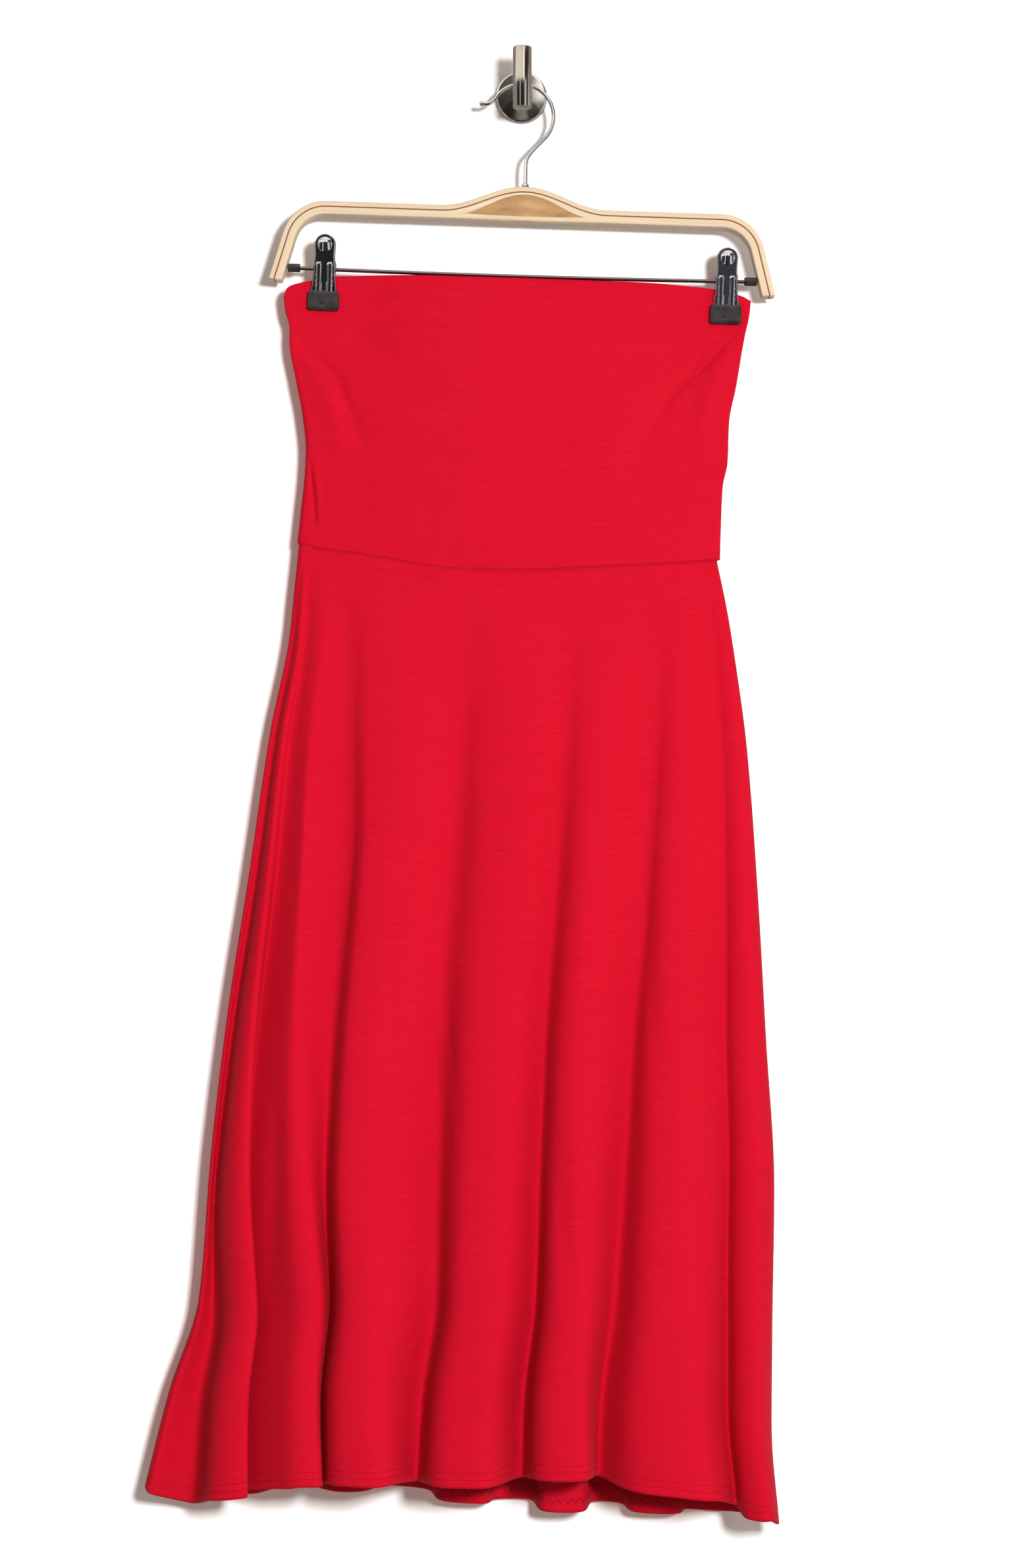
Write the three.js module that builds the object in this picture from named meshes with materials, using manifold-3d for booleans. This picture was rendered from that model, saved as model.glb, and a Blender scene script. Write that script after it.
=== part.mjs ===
// A strapless jersey dress with a flared skirt, clipped to a bent wood hanger that hangs on a
// round wall hook. Millimetres, +Z up. The origin is the centre of the wall plate's back face
// and +X runs to the viewer's right. The viewer stands on the -Y side, so "out" is a distance
// from the wall toward the viewer.

import * as THREE from 'three';
import { mergeVertices } from 'three/addons/utils/BufferGeometryUtils.js';
import Module from 'manifold-3d';

const wasm = await Module();
wasm.setup();

// Driving dimensions
const SEAM_GAP = 0.3;        // between pieces that are sewn or pressed together
const CLOTH = 1.6;           // thickness of a cloth wall
const HANG_OUT = 25.5;       // plane of the rod, between the two layers of cloth

const WAIST_ROUND = 4;       // radius of the side folds of the bodice at the waist
const TOP_ROUND = 2.6;       // and at the top edge
const FRONT_BELLY = 12;      // how far the front stands out at the waist
const FRONT_BELLY_TOP = 5;   // and at the top edge
const BACK_BELLY = 9;        // how far the back hangs toward the wall at the waist
const BACK_BELLY_TOP = 4;    // and at the top edge
const BACK_WAIST_DROP = 8;   // the back waist seam hangs lower than the front one
const BACK_TOP_DROP = 3;     // the back top edge hangs lower than the front one
const FOLD_START = 0.03;     // share of the skirt's length above which there are no folds
const PINCH_ACROSS = { full: 22, none: 46 };   // how far from a clip's centre the layers lie together
const PINCH_BELOW = { full: 12, none: 80 };    // and how far below its jaw

const BAR_WIDTH = 428;       // over the tips of the legs
const BAR_HEIGHT = 10.9;     // of the two plies together
const BAR_DEPTH = 15;
const BAR_TOP = -105.8;      // straight top edge, below the top of the hook's loop
const BAR_DROP = 69;         // from the top edge down to the leg tips
const BAR_BEND = 37.4;       // outer radius of the bends
const LEG_SPLAY = 15.5;      // degrees from upright
const UPPER_PLY = 4.7;
const HUMP_RISE = 17.6;
const HUMP_HALF = 70;
const CORE_HALF = 52;        // half width of the lens-shaped core of the hump
const CORE_RISE = 16.6;
const CORE_FLOOR = 3.2;      // wood left under the core
const HANGER_TILT = 1.94;    // degrees, right end low
const HANGER_AT = { x: 6.2, z: 3.7 };

const WIRE_RADIUS = 1.6;
const LOOP_RADIUS = 27.2;    // hook wire, centre line
const LOOP_X = -5.3;         // centre of the loop beside the shank
const LOOP_FROM = -47;       // degrees where the loop starts on the right
const LOOP_TO = 151;         // degrees where the loop ends on the left
const SHANK = 21;             // straight part of the wire above the collar's seat
const SHANK_LEAN = { x: 1.3, z: 5.5 };   // first step of the wire from the shank toward the loop
const TIP_TURN = { x: 8, z: 3.4 };       // how far the wire turns out again at the loop's end
const TIP_RADIUS = 2.1;
const COLLAR_HEIGHT = 4;
const COLLAR_RADIUS = 3.3;
const COLLAR_CHAMFER = 0.8;

const ROD_RADIUS = 1.55;
const ROD_DROP = 54.6;       // below the bar's top edge
const ROD_SAG = 1.5;
const ROD_HALF = 197.3;
const ROD_PLAY = 0.65;       // clearance of the clips' bores around the rod
const SLEEVE_LENGTH = 10.4;
const SLEEVE_RADIUS = 3.5;
const SLEEVE_PLAY = 0.1;

const CLIP_HEAD = 9.15;      // radius of the rounded head
const CLIP_HEAD_UP = 17.3;   // centre of the head above the rod
const CLIP_JAW_DOWN = 37.2;  // bottom of the pads below the rod
const PAD_WIDTH = 26.8;
const PAD_HEIGHT = 16.6;
const PAD_DEPTH = 5.5;
const PLATE = 1.1;           // sheet of the clip plates
const PLATE_OUT = 9;         // plate face from the rod's axis
const PLATE_LEAN = 0.14;     // the plates spread toward their heads
const PLATE_HALF = { foot: 11.3, hollow: 9.6, rod: 9.3, neck: 8.4 };   // half widths, foot to head
const NECK_UP = 8;           // above and below the rod where the plate's sides curve
const FLANGE = 3.4;          // turned-in depth of a plate's edge
const BACK_INSET = 1.6;      // the back plate sits inside the front one by this much
const DOME = { width: 12.6, depth: 4.6 };
const RIB = { radius: 1.7, length: 17.5, flat: 0.7, x: 4.5, z: -9.5 };
const TONGUE = { width: 18, height: 12 };
const TONGUE_DROP = 5;       // centre of the tongue below the plate's foot
const EAR = { height: 7.6, radius: 3.8 };
const SPRING = { radius: 3.4, length: 10.6 };
const PAD_CORNER = 2.6;
const PAD_TAPER = 1;         // the pad is narrower at its top by this much on each side
const CLIP_XS = { left: -167.2, right: 172.4 };

const PLATE_RADIUS = 22;     // wall plate
const PLATE_THICK = 5;
const PLATE_RIM = { side: 1.4, out: 0.5, top: 0.4, face: 1.6 };   // two small chamfers round its face
const PEG_RADIUS = 3.5;
const PEG_DOWN = 1.5;
const WALL_BAR_RADIUS = 7.65;
const WALL_BAR_LENGTH = 48.7;
const WALL_BAR_CHAMFER = 0.7;
const WALL_BAR_OUT = 50;
const WALL_BAR_UP = 2.5;     // centre of the upright bar above the plate's centre

function table(columns, rows) {
  return rows.map((row) => Object.fromEntries(columns.map((name, i) => [name, row[i]])));
}

// The bodice's side edges, by the share of the way from the top edge down to the waist.
const BODICE_SIDES = table(['down', 'left', 'right'], [
  [0.00, -200.5, 193.5],
  [0.06, -199.0, 192.0],
  [0.13, -195.3, 188.6],
  [0.18, -195.6, 186.5],
  [0.33, -190.4, 181.0],
  [0.47, -184.9, 175.0],
  [0.62, -181.6, 173.8],
  [0.72, -182.6, 169.6],
  [0.88, -186.1, 168.0],
  [1.00, -188.8, 167.3],
]);

const TOP_EDGE = table(['x', 'z'], [
  [-200.5, -171.0],
  [-190.0, -166.0],
  [-178.8, -162.7],
  [-153.0, -158.9],
  [-125.0, -158.6],
  [-6.6, -161.6],
  [60.0, -163.8],
  [113.0, -165.5],
  [150.0, -168.3],
  [165.0, -170.3],
  [186.0, -175.5],
  [193.5, -179.5],
]);

const WAIST_SEAM = table(['x', 'z'], [
  [-188.8, -384.4],
  [-170.0, -389.5],
  [-139.8, -393.5],
  [-95.0, -401.5],
  [-56.0, -407.2],
  [4.6, -408.0],
  [78.0, -404.5],
  [127.0, -401.8],
  [167.3, -398.5],
]);

// The skirt's side edges, by the share of the way from the waist down to the hem.
const SKIRT_SIDES = table(['down', 'left', 'right'], [
  [0.00, -187.4, 164.5],
  [0.05, -191.4, 172.8],
  [0.10, -195.5, 179.3],
  [0.20, -211.5, 189.8],
  [0.35, -229.2, 198.5],
  [0.50, -247.5, 205.0],
  [0.65, -261.5, 211.5],
  [0.80, -271.3, 209.5],
  [0.90, -296.5, 208.7],
  [1.00, -316.8, 214.8],
]);

// Lines that run down the skirt front from left to right, ridges and valleys in turn. The
// first four columns are shares of the skirt's width at the waist, a third and two thirds of
// the way down, and at the hem. Then the distance out from the wall and the height, at the hem.
const FRONT_FOLDS = table(['waist', 'third', 'twoThirds', 'hem', 'out', 'hemZ'], [
  [0.0000, 0.0000, 0.0000, 0.0000, 31, -1179.0],
  [0.0020, 0.0030, 0.0040, 0.0110, 43, -1183.0],
  [0.0097, 0.0134, 0.0100, 0.0728, 28, -1195.0],
  [0.0128, 0.0287, 0.0399, 0.1134, 70, -1180.0],
  [0.0207, 0.0471, 0.0812, 0.1714, 76, -1175.0],
  [0.0270, 0.0500, 0.0641, 0.1467, 42, -1180.0],
  [0.0426, 0.0941, 0.1333, 0.2269, 80, -1167.0],
  [0.0620, 0.1060, 0.1600, 0.2611, 88, -1163.0],
  [0.0818, 0.1172, 0.1871, 0.2876, 82, -1164.0],
  [0.1054, 0.1925, 0.2076, 0.2790, 50, -1171.0],
  [0.1300, 0.2150, 0.2280, 0.3006, 82, -1163.0],
  [0.1682, 0.2360, 0.2449, 0.3326, 93, -1161.0],
  [0.2938, 0.3391, 0.3171, 0.3894, 92, -1161.0],
  [0.3882, 0.3922, 0.4053, 0.4304, 50, -1169.5],
  [0.4353, 0.4358, 0.4371, 0.4567, 88, -1162.0],
  [0.5000, 0.5000, 0.4850, 0.5019, 97, -1161.0],
  [0.5609, 0.5581, 0.5354, 0.5532, 93, -1161.0],
  [0.6362, 0.6052, 0.5865, 0.5959, 52, -1165.5],
  [0.6709, 0.6329, 0.6063, 0.6204, 92, -1156.0],
  [0.7493, 0.6936, 0.6772, 0.6973, 97, -1154.5],
  [0.8357, 0.7793, 0.7378, 0.7389, 52, -1166.5],
  [0.8673, 0.8031, 0.7631, 0.7624, 84, -1167.0],
  [0.9000, 0.8360, 0.8120, 0.8310, 94, -1169.5],
  [0.9301, 0.8701, 0.8671, 0.8916, 88, -1174.5],
  [0.9630, 0.9325, 0.9167, 0.9308, 48, -1189.8],
  [0.9724, 0.9475, 0.9312, 0.9477, 66, -1196.0],
  [0.9849, 0.9772, 0.9696, 0.9796, 73, -1196.0],
  [1.0000, 1.0000, 1.0000, 1.0000, 46, -1206.7],
]);

// Lines that run down the skirt back, from right to left, each at one share of the width.
const BACK_FOLDS = table(['share', 'out', 'hemZ'], [
  [0.955, 11, -1209.0],
  [0.906, 8, -1208.0],
  [0.874, 24, -1206.0],
  [0.837, 26, -1205.0],
  [0.780, 9, -1203.0],
  [0.724, 9, -1201.0],
  [0.690, 37, -1199.5],
  [0.630, 37, -1199.0],
  [0.600, 9, -1198.5],
  [0.551, 8, -1198.0],
  [0.532, 27, -1196.0],
  [0.468, 28, -1193.0],
  [0.430, 9, -1190.0],
  [0.374, 8, -1186.5],
  [0.344, 25, -1186.0],
  [0.299, 26, -1186.0],
  [0.257, 9, -1187.0],
  [0.205, 8, -1188.0],
  [0.171, 23, -1188.5],
  [0.133, 21, -1189.0],
  [0.088, 8, -1188.0],
  [0.035, 12, -1183.0],
]);

// Interpolation

const lerp = THREE.MathUtils.lerp;

function fade(distance, full, none) {
  return 1 - THREE.MathUtils.smoothstep(distance, full, none);
}

function hermite(a, b, slopeA, slopeB, f) {
  const toB = f * f * (3 - 2 * f);
  return a + (b - a) * toB + f * (1 - f) * ((1 - f) * slopeA - f * slopeB);
}

// Slope at a point between two rises: none where they turn, so a curve never overshoots.
function steadySlope(before, after) {
  return before * after <= 0 ? 0 : (2 * before * after) / (before + after);
}

function averageSlope(before, after) {
  return (before + after) / 2;
}

function readTable(rows, from, to, at) {
  const last = rows.length - 1;
  const place = THREE.MathUtils.clamp(at, rows[0][from], rows[last][from]);
  let i = 0;
  while (i < last - 1 && rows[i + 1][from] < place) i += 1;
  const step = (k) => rows[k + 1][from] - rows[k][from];
  const rise = (k) => (rows[k + 1][to] - rows[k][to]) / step(k);
  const slopeA = i > 0 ? steadySlope(rise(i - 1), rise(i)) : rise(i);
  const slopeB = i < last - 1 ? steadySlope(rise(i), rise(i + 1)) : rise(i);
  const f = (place - rows[i][from]) / step(i);
  return hermite(rows[i][to], rows[i + 1][to], slopeA * step(i), slopeB * step(i), f);
}

// Value at a place on a closed ring of lines.
function readRing(values, at, slope) {
  const count = values.length;
  const i = Math.floor(at);
  const [a, b, c, d] = [-1, 0, 1, 2].map((k) => values[(i + k + count) % count]);
  return hermite(b, c, slope(b - a, c - b), slope(c - b, d - c), at - i);
}

// Solids

function toSolid(geometry) {
  const bare = geometry.clone();
  bare.deleteAttribute('normal');
  bare.deleteAttribute('uv');
  const merged = mergeVertices(bare, 1e-4);
  const vertProperties = new Float32Array(merged.attributes.position.array);
  const triVerts = new Uint32Array(merged.index.array);
  return new wasm.Manifold(new wasm.Mesh({ numProp: 3, vertProperties, triVerts }));
}

function toGeometry(solid) {
  const mesh = solid.getMesh();
  const geometry = new THREE.BufferGeometry();
  geometry.setAttribute('position', new THREE.BufferAttribute(mesh.vertProperties, 3));
  geometry.setIndex(new THREE.BufferAttribute(mesh.triVerts, 1));
  geometry.computeVertexNormals();
  return geometry;
}

// An outline in X and Z given a depth, from one distance out to a larger one.
function slab(shape, outFrom, outTo, curveSegments = 8) {
  const depth = outTo - outFrom;
  const geometry = new THREE.ExtrudeGeometry(shape, { depth, bevelEnabled: false, curveSegments });
  geometry.rotateX(Math.PI / 2);
  geometry.translate(0, -outFrom, 0);
  return geometry;
}

function block(x, out, z, width, depth, height) {
  const geometry = new THREE.BoxGeometry(width, depth, height);
  geometry.translate(x, -out, z);
  return geometry;
}

function roundBar(curve, radius, sides, steps) {
  const section = new THREE.Shape().absarc(0, 0, radius, 0, 2 * Math.PI, false);
  return new THREE.ExtrudeGeometry(section, {
    extrudePath: curve,
    steps,
    curveSegments: sides,
    bevelEnabled: false,
  });
}

function turned(profile, sides) {
  return new THREE.LatheGeometry(profile.map(([r, y]) => new THREE.Vector2(r, y)), sides);
}

function ringAlongX(inner, outer, length, sides) {
  const half = length / 2;
  const section = [[inner, -half], [outer, -half], [outer, half], [inner, half], [inner, -half]];
  const geometry = turned(section, sides);
  geometry.rotateZ(Math.PI / 2);
  return geometry;
}

function addPiece(group, name, geometry, color, roughness, metalness = 0) {
  const look = new THREE.MeshStandardMaterial({ color, roughness, metalness });
  const mesh = new THREE.Mesh(geometry, look);
  mesh.name = name;
  group.add(mesh);
  return mesh;
}

// Cloth

// A closed wall around a surface: pointAt gives its middle for a place along the ring and a
// share of the way down, and the cloth's two faces lie half a thickness to each side.
function clothWall(pointAt, places, downs, nudge) {
  const positions = [];
  const lastPlace = places.length - 1;
  for (const down of downs) {
    places.forEach((place, i) => {
      const middle = pointAt(place, down);
      const along = pointAt(place + nudge, down).sub(pointAt(place - nudge, down)).setZ(0).normalize();
      if (i === 0) middle.addScaledVector(along, SEAM_GAP / 2);
      if (i === lastPlace) middle.addScaledVector(along, -SEAM_GAP / 2);
      const outward = new THREE.Vector3(along.y, -along.x, 0);
      const outer = middle.clone().addScaledVector(outward, CLOTH / 2);
      const inner = middle.clone().addScaledVector(outward, -CLOTH / 2);
      positions.push(...outer.toArray(), ...inner.toArray());
    });
  }
  const outer = (row, i) => (row * places.length + i) * 2;
  const inner = (row, i) => outer(row, i) + 1;
  const index = [];
  const quad = (a, b, c, d) => index.push(a, b, c, a, c, d);
  const lastRow = downs.length - 1;
  for (let row = 0; row < lastRow; row += 1) {
    for (let i = 0; i < lastPlace; i += 1) {
      quad(outer(row, i), outer(row + 1, i), outer(row + 1, i + 1), outer(row, i + 1));
      quad(inner(row, i), inner(row, i + 1), inner(row + 1, i + 1), inner(row + 1, i));
    }
    quad(inner(row, 0), inner(row + 1, 0), outer(row + 1, 0), outer(row, 0));
    const [a, b] = [outer(row, lastPlace), outer(row + 1, lastPlace)];
    quad(a, b, b + 1, a + 1);
  }
  for (let i = 0; i < lastPlace; i += 1) {
    quad(outer(0, i), outer(0, i + 1), inner(0, i + 1), inner(0, i));
    quad(outer(lastRow, i), inner(lastRow, i), inner(lastRow, i + 1), outer(lastRow, i + 1));
  }
  const geometry = new THREE.BufferGeometry();
  geometry.setAttribute('position', new THREE.Float32BufferAttribute(positions, 3));
  geometry.setIndex(index);
  geometry.computeVertexNormals();
  return geometry;
}

function evenSteps(from, to, count) {
  return Array.from({ length: count + 1 }, (_, i) => lerp(from, to, i / count));
}

// Half the depth of the flattened tube of cloth at a place across it: a round fold at each
// side, then a gentle belly.
function tubeHalf(x, left, right, round, belly) {
  const edge = Math.max(0, Math.min(x - left, right - x));
  const turn = edge < round ? Math.sqrt(round ** 2 - (round - edge) ** 2) : round;
  return turn + belly * Math.sin((Math.PI * edge) / (right - left));
}

function waistHeight(x, front) {
  const across = (x - WAIST_SEAM[0].x) / (WAIST_SEAM.at(-1).x - WAIST_SEAM[0].x);
  const drop = front ? 0 : BACK_WAIST_DROP * Math.sin(Math.PI * THREE.MathUtils.clamp(across, 0, 1));
  return readTable(WAIST_SEAM, 'x', 'z', x) - drop;
}

function topHeight(x, front) {
  const across = (x - TOP_EDGE[0].x) / (TOP_EDGE.at(-1).x - TOP_EDGE[0].x);
  const drop = front ? 0 : BACK_TOP_DROP * Math.sin(Math.PI * THREE.MathUtils.clamp(across, 0, 1));
  return readTable(TOP_EDGE, 'x', 'z', x) - drop;
}

// Where the clips press the two layers together, 1 at a clip and 0 away from it.
function clipPinch(x, z) {
  const pinches = Object.values(CLIP_XS).map((clipX) => {
    const below = rodHeight(clipX) - CLIP_JAW_DOWN - z;
    return fade(Math.abs(x - clipX), PINCH_ACROSS.full, PINCH_ACROSS.none)
      * fade(below, PINCH_BELOW.full, PINCH_BELOW.none);
  });
  return Math.max(...pinches);
}

// The bodice ring runs 0 to 1 along the front from the left side, then 1 to 2 along the back.
function bodicePoint(place, down) {
  const front = THREE.MathUtils.euclideanModulo(place, 2) < 1;
  const across = (1 - Math.cos(Math.PI * place)) / 2;
  const edges = (share) => ['left', 'right'].map((side) => readTable(BODICE_SIDES, 'down', side, share));
  const [left, right] = edges(down);
  const [topX, waistX] = [edges(0), edges(1)].map(([a, b]) => lerp(a, b, across));
  const x = lerp(left, right, across);
  const z = lerp(topHeight(topX, front), waistHeight(waistX, front) + SEAM_GAP / 2, down);
  const belly = front ? lerp(FRONT_BELLY_TOP, FRONT_BELLY, down) : lerp(BACK_BELLY_TOP, BACK_BELLY, down);
  const half = tubeHalf(x, left, right, lerp(TOP_ROUND, WAIST_ROUND, down), belly);
  const pressed = Math.min(half, (SEAM_GAP + CLOTH) / 2);
  const depth = lerp(half, pressed, clipPinch(x, z));
  return new THREE.Vector3(x, -(HANG_OUT + (front ? depth : -depth)), z);
}

const RING = [
  ...FRONT_FOLDS.map((line) => ({
    path: [line.waist, line.third, line.twoThirds, line.hem].map((share, i) => ({ down: i / 3, share })),
    out: line.out,
    hemZ: line.hemZ,
  })),
  ...BACK_FOLDS.map((line) => ({
    path: [0, 1].map((down) => ({ down, share: line.share })),
    out: line.out,
    hemZ: line.hemZ,
  })),
];
const RING_OUTS = RING.map((line) => line.out);
const RING_HEM_ZS = RING.map((line) => line.hemZ);
const FRONT_END = FRONT_FOLDS.length - 1;

const ringXsByDown = new Map();
function ringXs(down) {
  if (!ringXsByDown.has(down)) {
    const [left, right] = ['left', 'right'].map((side) => readTable(SKIRT_SIDES, 'down', side, down));
    const xs = RING.map((line) => lerp(left, right, readTable(line.path, 'down', 'share', down)));
    ringXsByDown.set(down, { left, right, xs });
  }
  return ringXsByDown.get(down);
}

// The skirt ring is counted in lines: the front ones, then the back ones.
function skirtPoint(place, down) {
  const at = THREE.MathUtils.euclideanModulo(place, RING.length);
  const front = at < FRONT_END;
  const { left, right, xs } = ringXs(down);
  const x = readRing(xs, at, steadySlope);
  const seamX = readRing(ringXs(0).xs, at, steadySlope);
  const belly = front ? FRONT_BELLY : BACK_BELLY;
  const half = tubeHalf(x, left, right, WAIST_ROUND, belly);
  const plain = HANG_OUT + (front ? half : -half);
  const folded = Math.max(0, (down - FOLD_START) / (1 - FOLD_START));
  const out = lerp(plain, readRing(RING_OUTS, at, averageSlope), folded);
  const hemZ = readRing(RING_HEM_ZS, at, steadySlope);
  const z = lerp(waistHeight(seamX, front) - SEAM_GAP / 2, hemZ, down);
  return new THREE.Vector3(x, -out, z);
}

function buildDress() {
  const dress = new THREE.Group();
  const red = 0xd8142a;
  const bodiceDowns = evenSteps(0, 1, 9);
  const frontWall = clothWall(bodicePoint, evenSteps(0, 1, 28), bodiceDowns, 1e-3);
  const backWall = clothWall(bodicePoint, evenSteps(1, 2, 24), bodiceDowns, 1e-3);
  addPiece(dress, 'bodice_front', frontWall, red, 0.9);
  addPiece(dress, 'bodice_back', backWall, red, 0.9);
  const skirtDowns = evenSteps(0, 1, 13);
  const frontPlaces = evenSteps(0, FRONT_END, FRONT_END * 3);
  const backPlaces = evenSteps(FRONT_END, RING.length, (RING.length - FRONT_END) * 2);
  addPiece(dress, 'skirt_front', clothWall(skirtPoint, frontPlaces, skirtDowns, 1e-2), red, 0.9);
  addPiece(dress, 'skirt_back', clothWall(skirtPoint, backPlaces, skirtDowns, 1e-2), red, 0.9);
  return dress;
}

// Hanger, in its own level frame: X from the shank, Z down from the top of the hook's loop

function humpRise(x) {
  return Math.abs(x) < HUMP_HALF ? HUMP_RISE * Math.cos((Math.PI * x) / (2 * HUMP_HALF)) ** 2 : 0;
}

// Half of a line that follows the bar at a depth under its top edge, from the middle outward.
function barHalf(depth, humped) {
  const splay = THREE.MathUtils.degToRad(LEG_SPLAY);
  const bendDrop = BAR_BEND * (1 - Math.sin(splay));
  const leg = (BAR_DROP - bendDrop) / Math.cos(splay);
  const bendX = BAR_WIDTH / 2 - BAR_BEND * Math.cos(splay) - leg * Math.sin(splay);
  const radius = BAR_BEND - depth;
  const points = evenSteps(0, HUMP_HALF, 14).map((x) => [x, BAR_TOP - depth + (humped ? humpRise(x) : 0)]);
  for (const angle of evenSteps(Math.PI / 2, splay, 9)) {
    points.push([bendX + radius * Math.cos(angle), BAR_TOP - BAR_BEND + radius * Math.sin(angle)]);
  }
  const [x, z] = points.at(-1);
  points.push([x + leg * Math.sin(splay), z - leg * Math.cos(splay)]);
  return points;
}

function plyShape(topDepth, topHumped, bottomDepth, bottomHumped) {
  const mirrored = (points) => [...points.slice(1).reverse().map(([x, z]) => [-x, z]), ...points];
  const topLine = mirrored(barHalf(topDepth, topHumped));
  const bottomLine = mirrored(barHalf(bottomDepth, bottomHumped)).reverse();
  return new THREE.Shape([...topLine, ...bottomLine].map(([x, z]) => new THREE.Vector2(x, z)));
}

// The lens-shaped core of the hump, drawn smaller by a margin all round.
function coreOutline(margin) {
  const half = CORE_HALF - 6 * margin;
  const floor = BAR_TOP - BAR_HEIGHT + CORE_FLOOR;
  const lower = evenSteps(-half, half, 20).map((x) => [x, floor + margin + (x / CORE_HALF) ** 2]);
  const upper = lower.slice(1, -1).reverse().map(([x, z]) => {
    return [x, z + (CORE_RISE - 2 * margin) * Math.cos((Math.PI * x) / (2 * half)) ** 1.5];
  });
  return [...lower, ...upper].map(([x, z]) => new THREE.Vector2(x, z));
}

function hookCurve() {
  const radians = THREE.MathUtils.degToRad;
  const onLoop = (angle) => {
    const x = LOOP_X + LOOP_RADIUS * Math.cos(radians(angle));
    return new THREE.Vector3(x, 0, LOOP_RADIUS * (Math.sin(radians(angle)) - 1));
  };
  const shankFoot = BAR_TOP + HUMP_RISE + SEAM_GAP;
  const start = onLoop(LOOP_FROM);
  const end = onLoop(LOOP_TO);
  return new THREE.CatmullRomCurve3([
    new THREE.Vector3(0, 0, shankFoot),
    new THREE.Vector3(0, 0, shankFoot + SHANK / 2),
    new THREE.Vector3(0, 0, shankFoot + SHANK),
    new THREE.Vector3(SHANK_LEAN.x, 0, shankFoot + SHANK + SHANK_LEAN.z),
    new THREE.Vector3(start.x / 2, 0, (shankFoot + SHANK + SHANK_LEAN.z + start.z) / 2),
    ...evenSteps(LOOP_FROM, LOOP_TO, 12).map(onLoop),
    new THREE.Vector3(end.x - 0.58 * TIP_TURN.x, 0, end.z - 0.94 * TIP_TURN.z),
    new THREE.Vector3(end.x - TIP_TURN.x, 0, end.z - TIP_TURN.z),
  ], false, 'centripetal');
}

function buildHanger() {
  const hanger = new THREE.Group();
  hanger.position.set(HANGER_AT.x, 0, HANGER_AT.z);
  hanger.rotation.y = THREE.MathUtils.degToRad(HANGER_TILT);
  const [near, far] = [HANG_OUT - BAR_DEPTH / 2, HANG_OUT + BAR_DEPTH / 2];

  const upper = slab(plyShape(0, true, UPPER_PLY - SEAM_GAP / 2, true), near, far);
  const lowerShape = plyShape(UPPER_PLY + SEAM_GAP / 2, true, BAR_HEIGHT, false);
  lowerShape.holes.push(new THREE.Path(coreOutline(0)));
  const core = new THREE.Shape(coreOutline(SEAM_GAP));
  addPiece(hanger, 'hanger_upper_ply', upper, 0xeccfa0, 0.55);
  addPiece(hanger, 'hanger_lower_ply', slab(lowerShape, near, far), 0xeccfa0, 0.55);
  addPiece(hanger, 'hanger_hump_core', slab(core, near, far), 0xc79a62, 0.6);

  const curve = hookCurve();
  const tip = new THREE.SphereGeometry(TIP_RADIUS, 10, 6);
  tip.translate(...curve.getPoint(1).toArray());
  const hook = toGeometry(toSolid(roundBar(curve, WIRE_RADIUS, 4, 42)).add(toSolid(tip)));
  hook.translate(0, -HANG_OUT, 0);
  addPiece(hanger, 'hanger_hook', hook, 0xd6d6d8, 0.15, 1);

  const wireBore = WIRE_RADIUS + SEAM_GAP;
  const collarFoot = BAR_TOP + HUMP_RISE + 2 * SEAM_GAP;
  const collar = turned([
    [wireBore, 0],
    [COLLAR_RADIUS - COLLAR_CHAMFER, 0],
    [COLLAR_RADIUS, COLLAR_HEIGHT / 2],
    [COLLAR_RADIUS - COLLAR_CHAMFER, COLLAR_HEIGHT],
    [wireBore, COLLAR_HEIGHT],
    [wireBore, 0],
  ], 16);
  collar.rotateX(Math.PI / 2);
  collar.translate(0, -HANG_OUT, collarFoot);
  addPiece(hanger, 'hanger_collar', collar, 0xd6d6d8, 0.2, 1);

  const rodZ = BAR_TOP - ROD_DROP;
  const rod = roundBar(new THREE.QuadraticBezierCurve3(
    new THREE.Vector3(-ROD_HALF, -HANG_OUT, rodZ),
    new THREE.Vector3(0, -HANG_OUT, rodZ - 2 * ROD_SAG),
    new THREE.Vector3(ROD_HALF, -HANG_OUT, rodZ),
  ), ROD_RADIUS, 5, 10);
  addPiece(hanger, 'hanger_rod', rod, 0x8a8a8e, 0.3, 1);
  for (const [side, sign] of [['left', -1], ['right', 1]]) {
    const bore = ROD_RADIUS + SEAM_GAP + SLEEVE_PLAY;
    const sleeve = ringAlongX(bore, SLEEVE_RADIUS, SLEEVE_LENGTH, 16);
    sleeve.translate(sign * (ROD_HALF - SLEEVE_LENGTH / 2), -HANG_OUT, rodZ - SLEEVE_PLAY);
    addPiece(hanger, `rod_sleeve_${side}`, sleeve, 0x1b1b1d, 0.7);
  }
  return hanger;
}

// Height of the rod's axis at a place across the whole part.
function rodHeight(x) {
  const tilt = THREE.MathUtils.degToRad(HANGER_TILT);
  const rodZ = BAR_TOP - ROD_DROP;
  const along = (x - HANGER_AT.x - rodZ * Math.sin(tilt)) / Math.cos(tilt);
  const sag = ROD_SAG * (1 - (along / ROD_HALF) ** 2);
  return HANGER_AT.z - along * Math.sin(tilt) + (rodZ - sag) * Math.cos(tilt);
}

// Clips, each in a frame whose origin is the rod's axis

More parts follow.
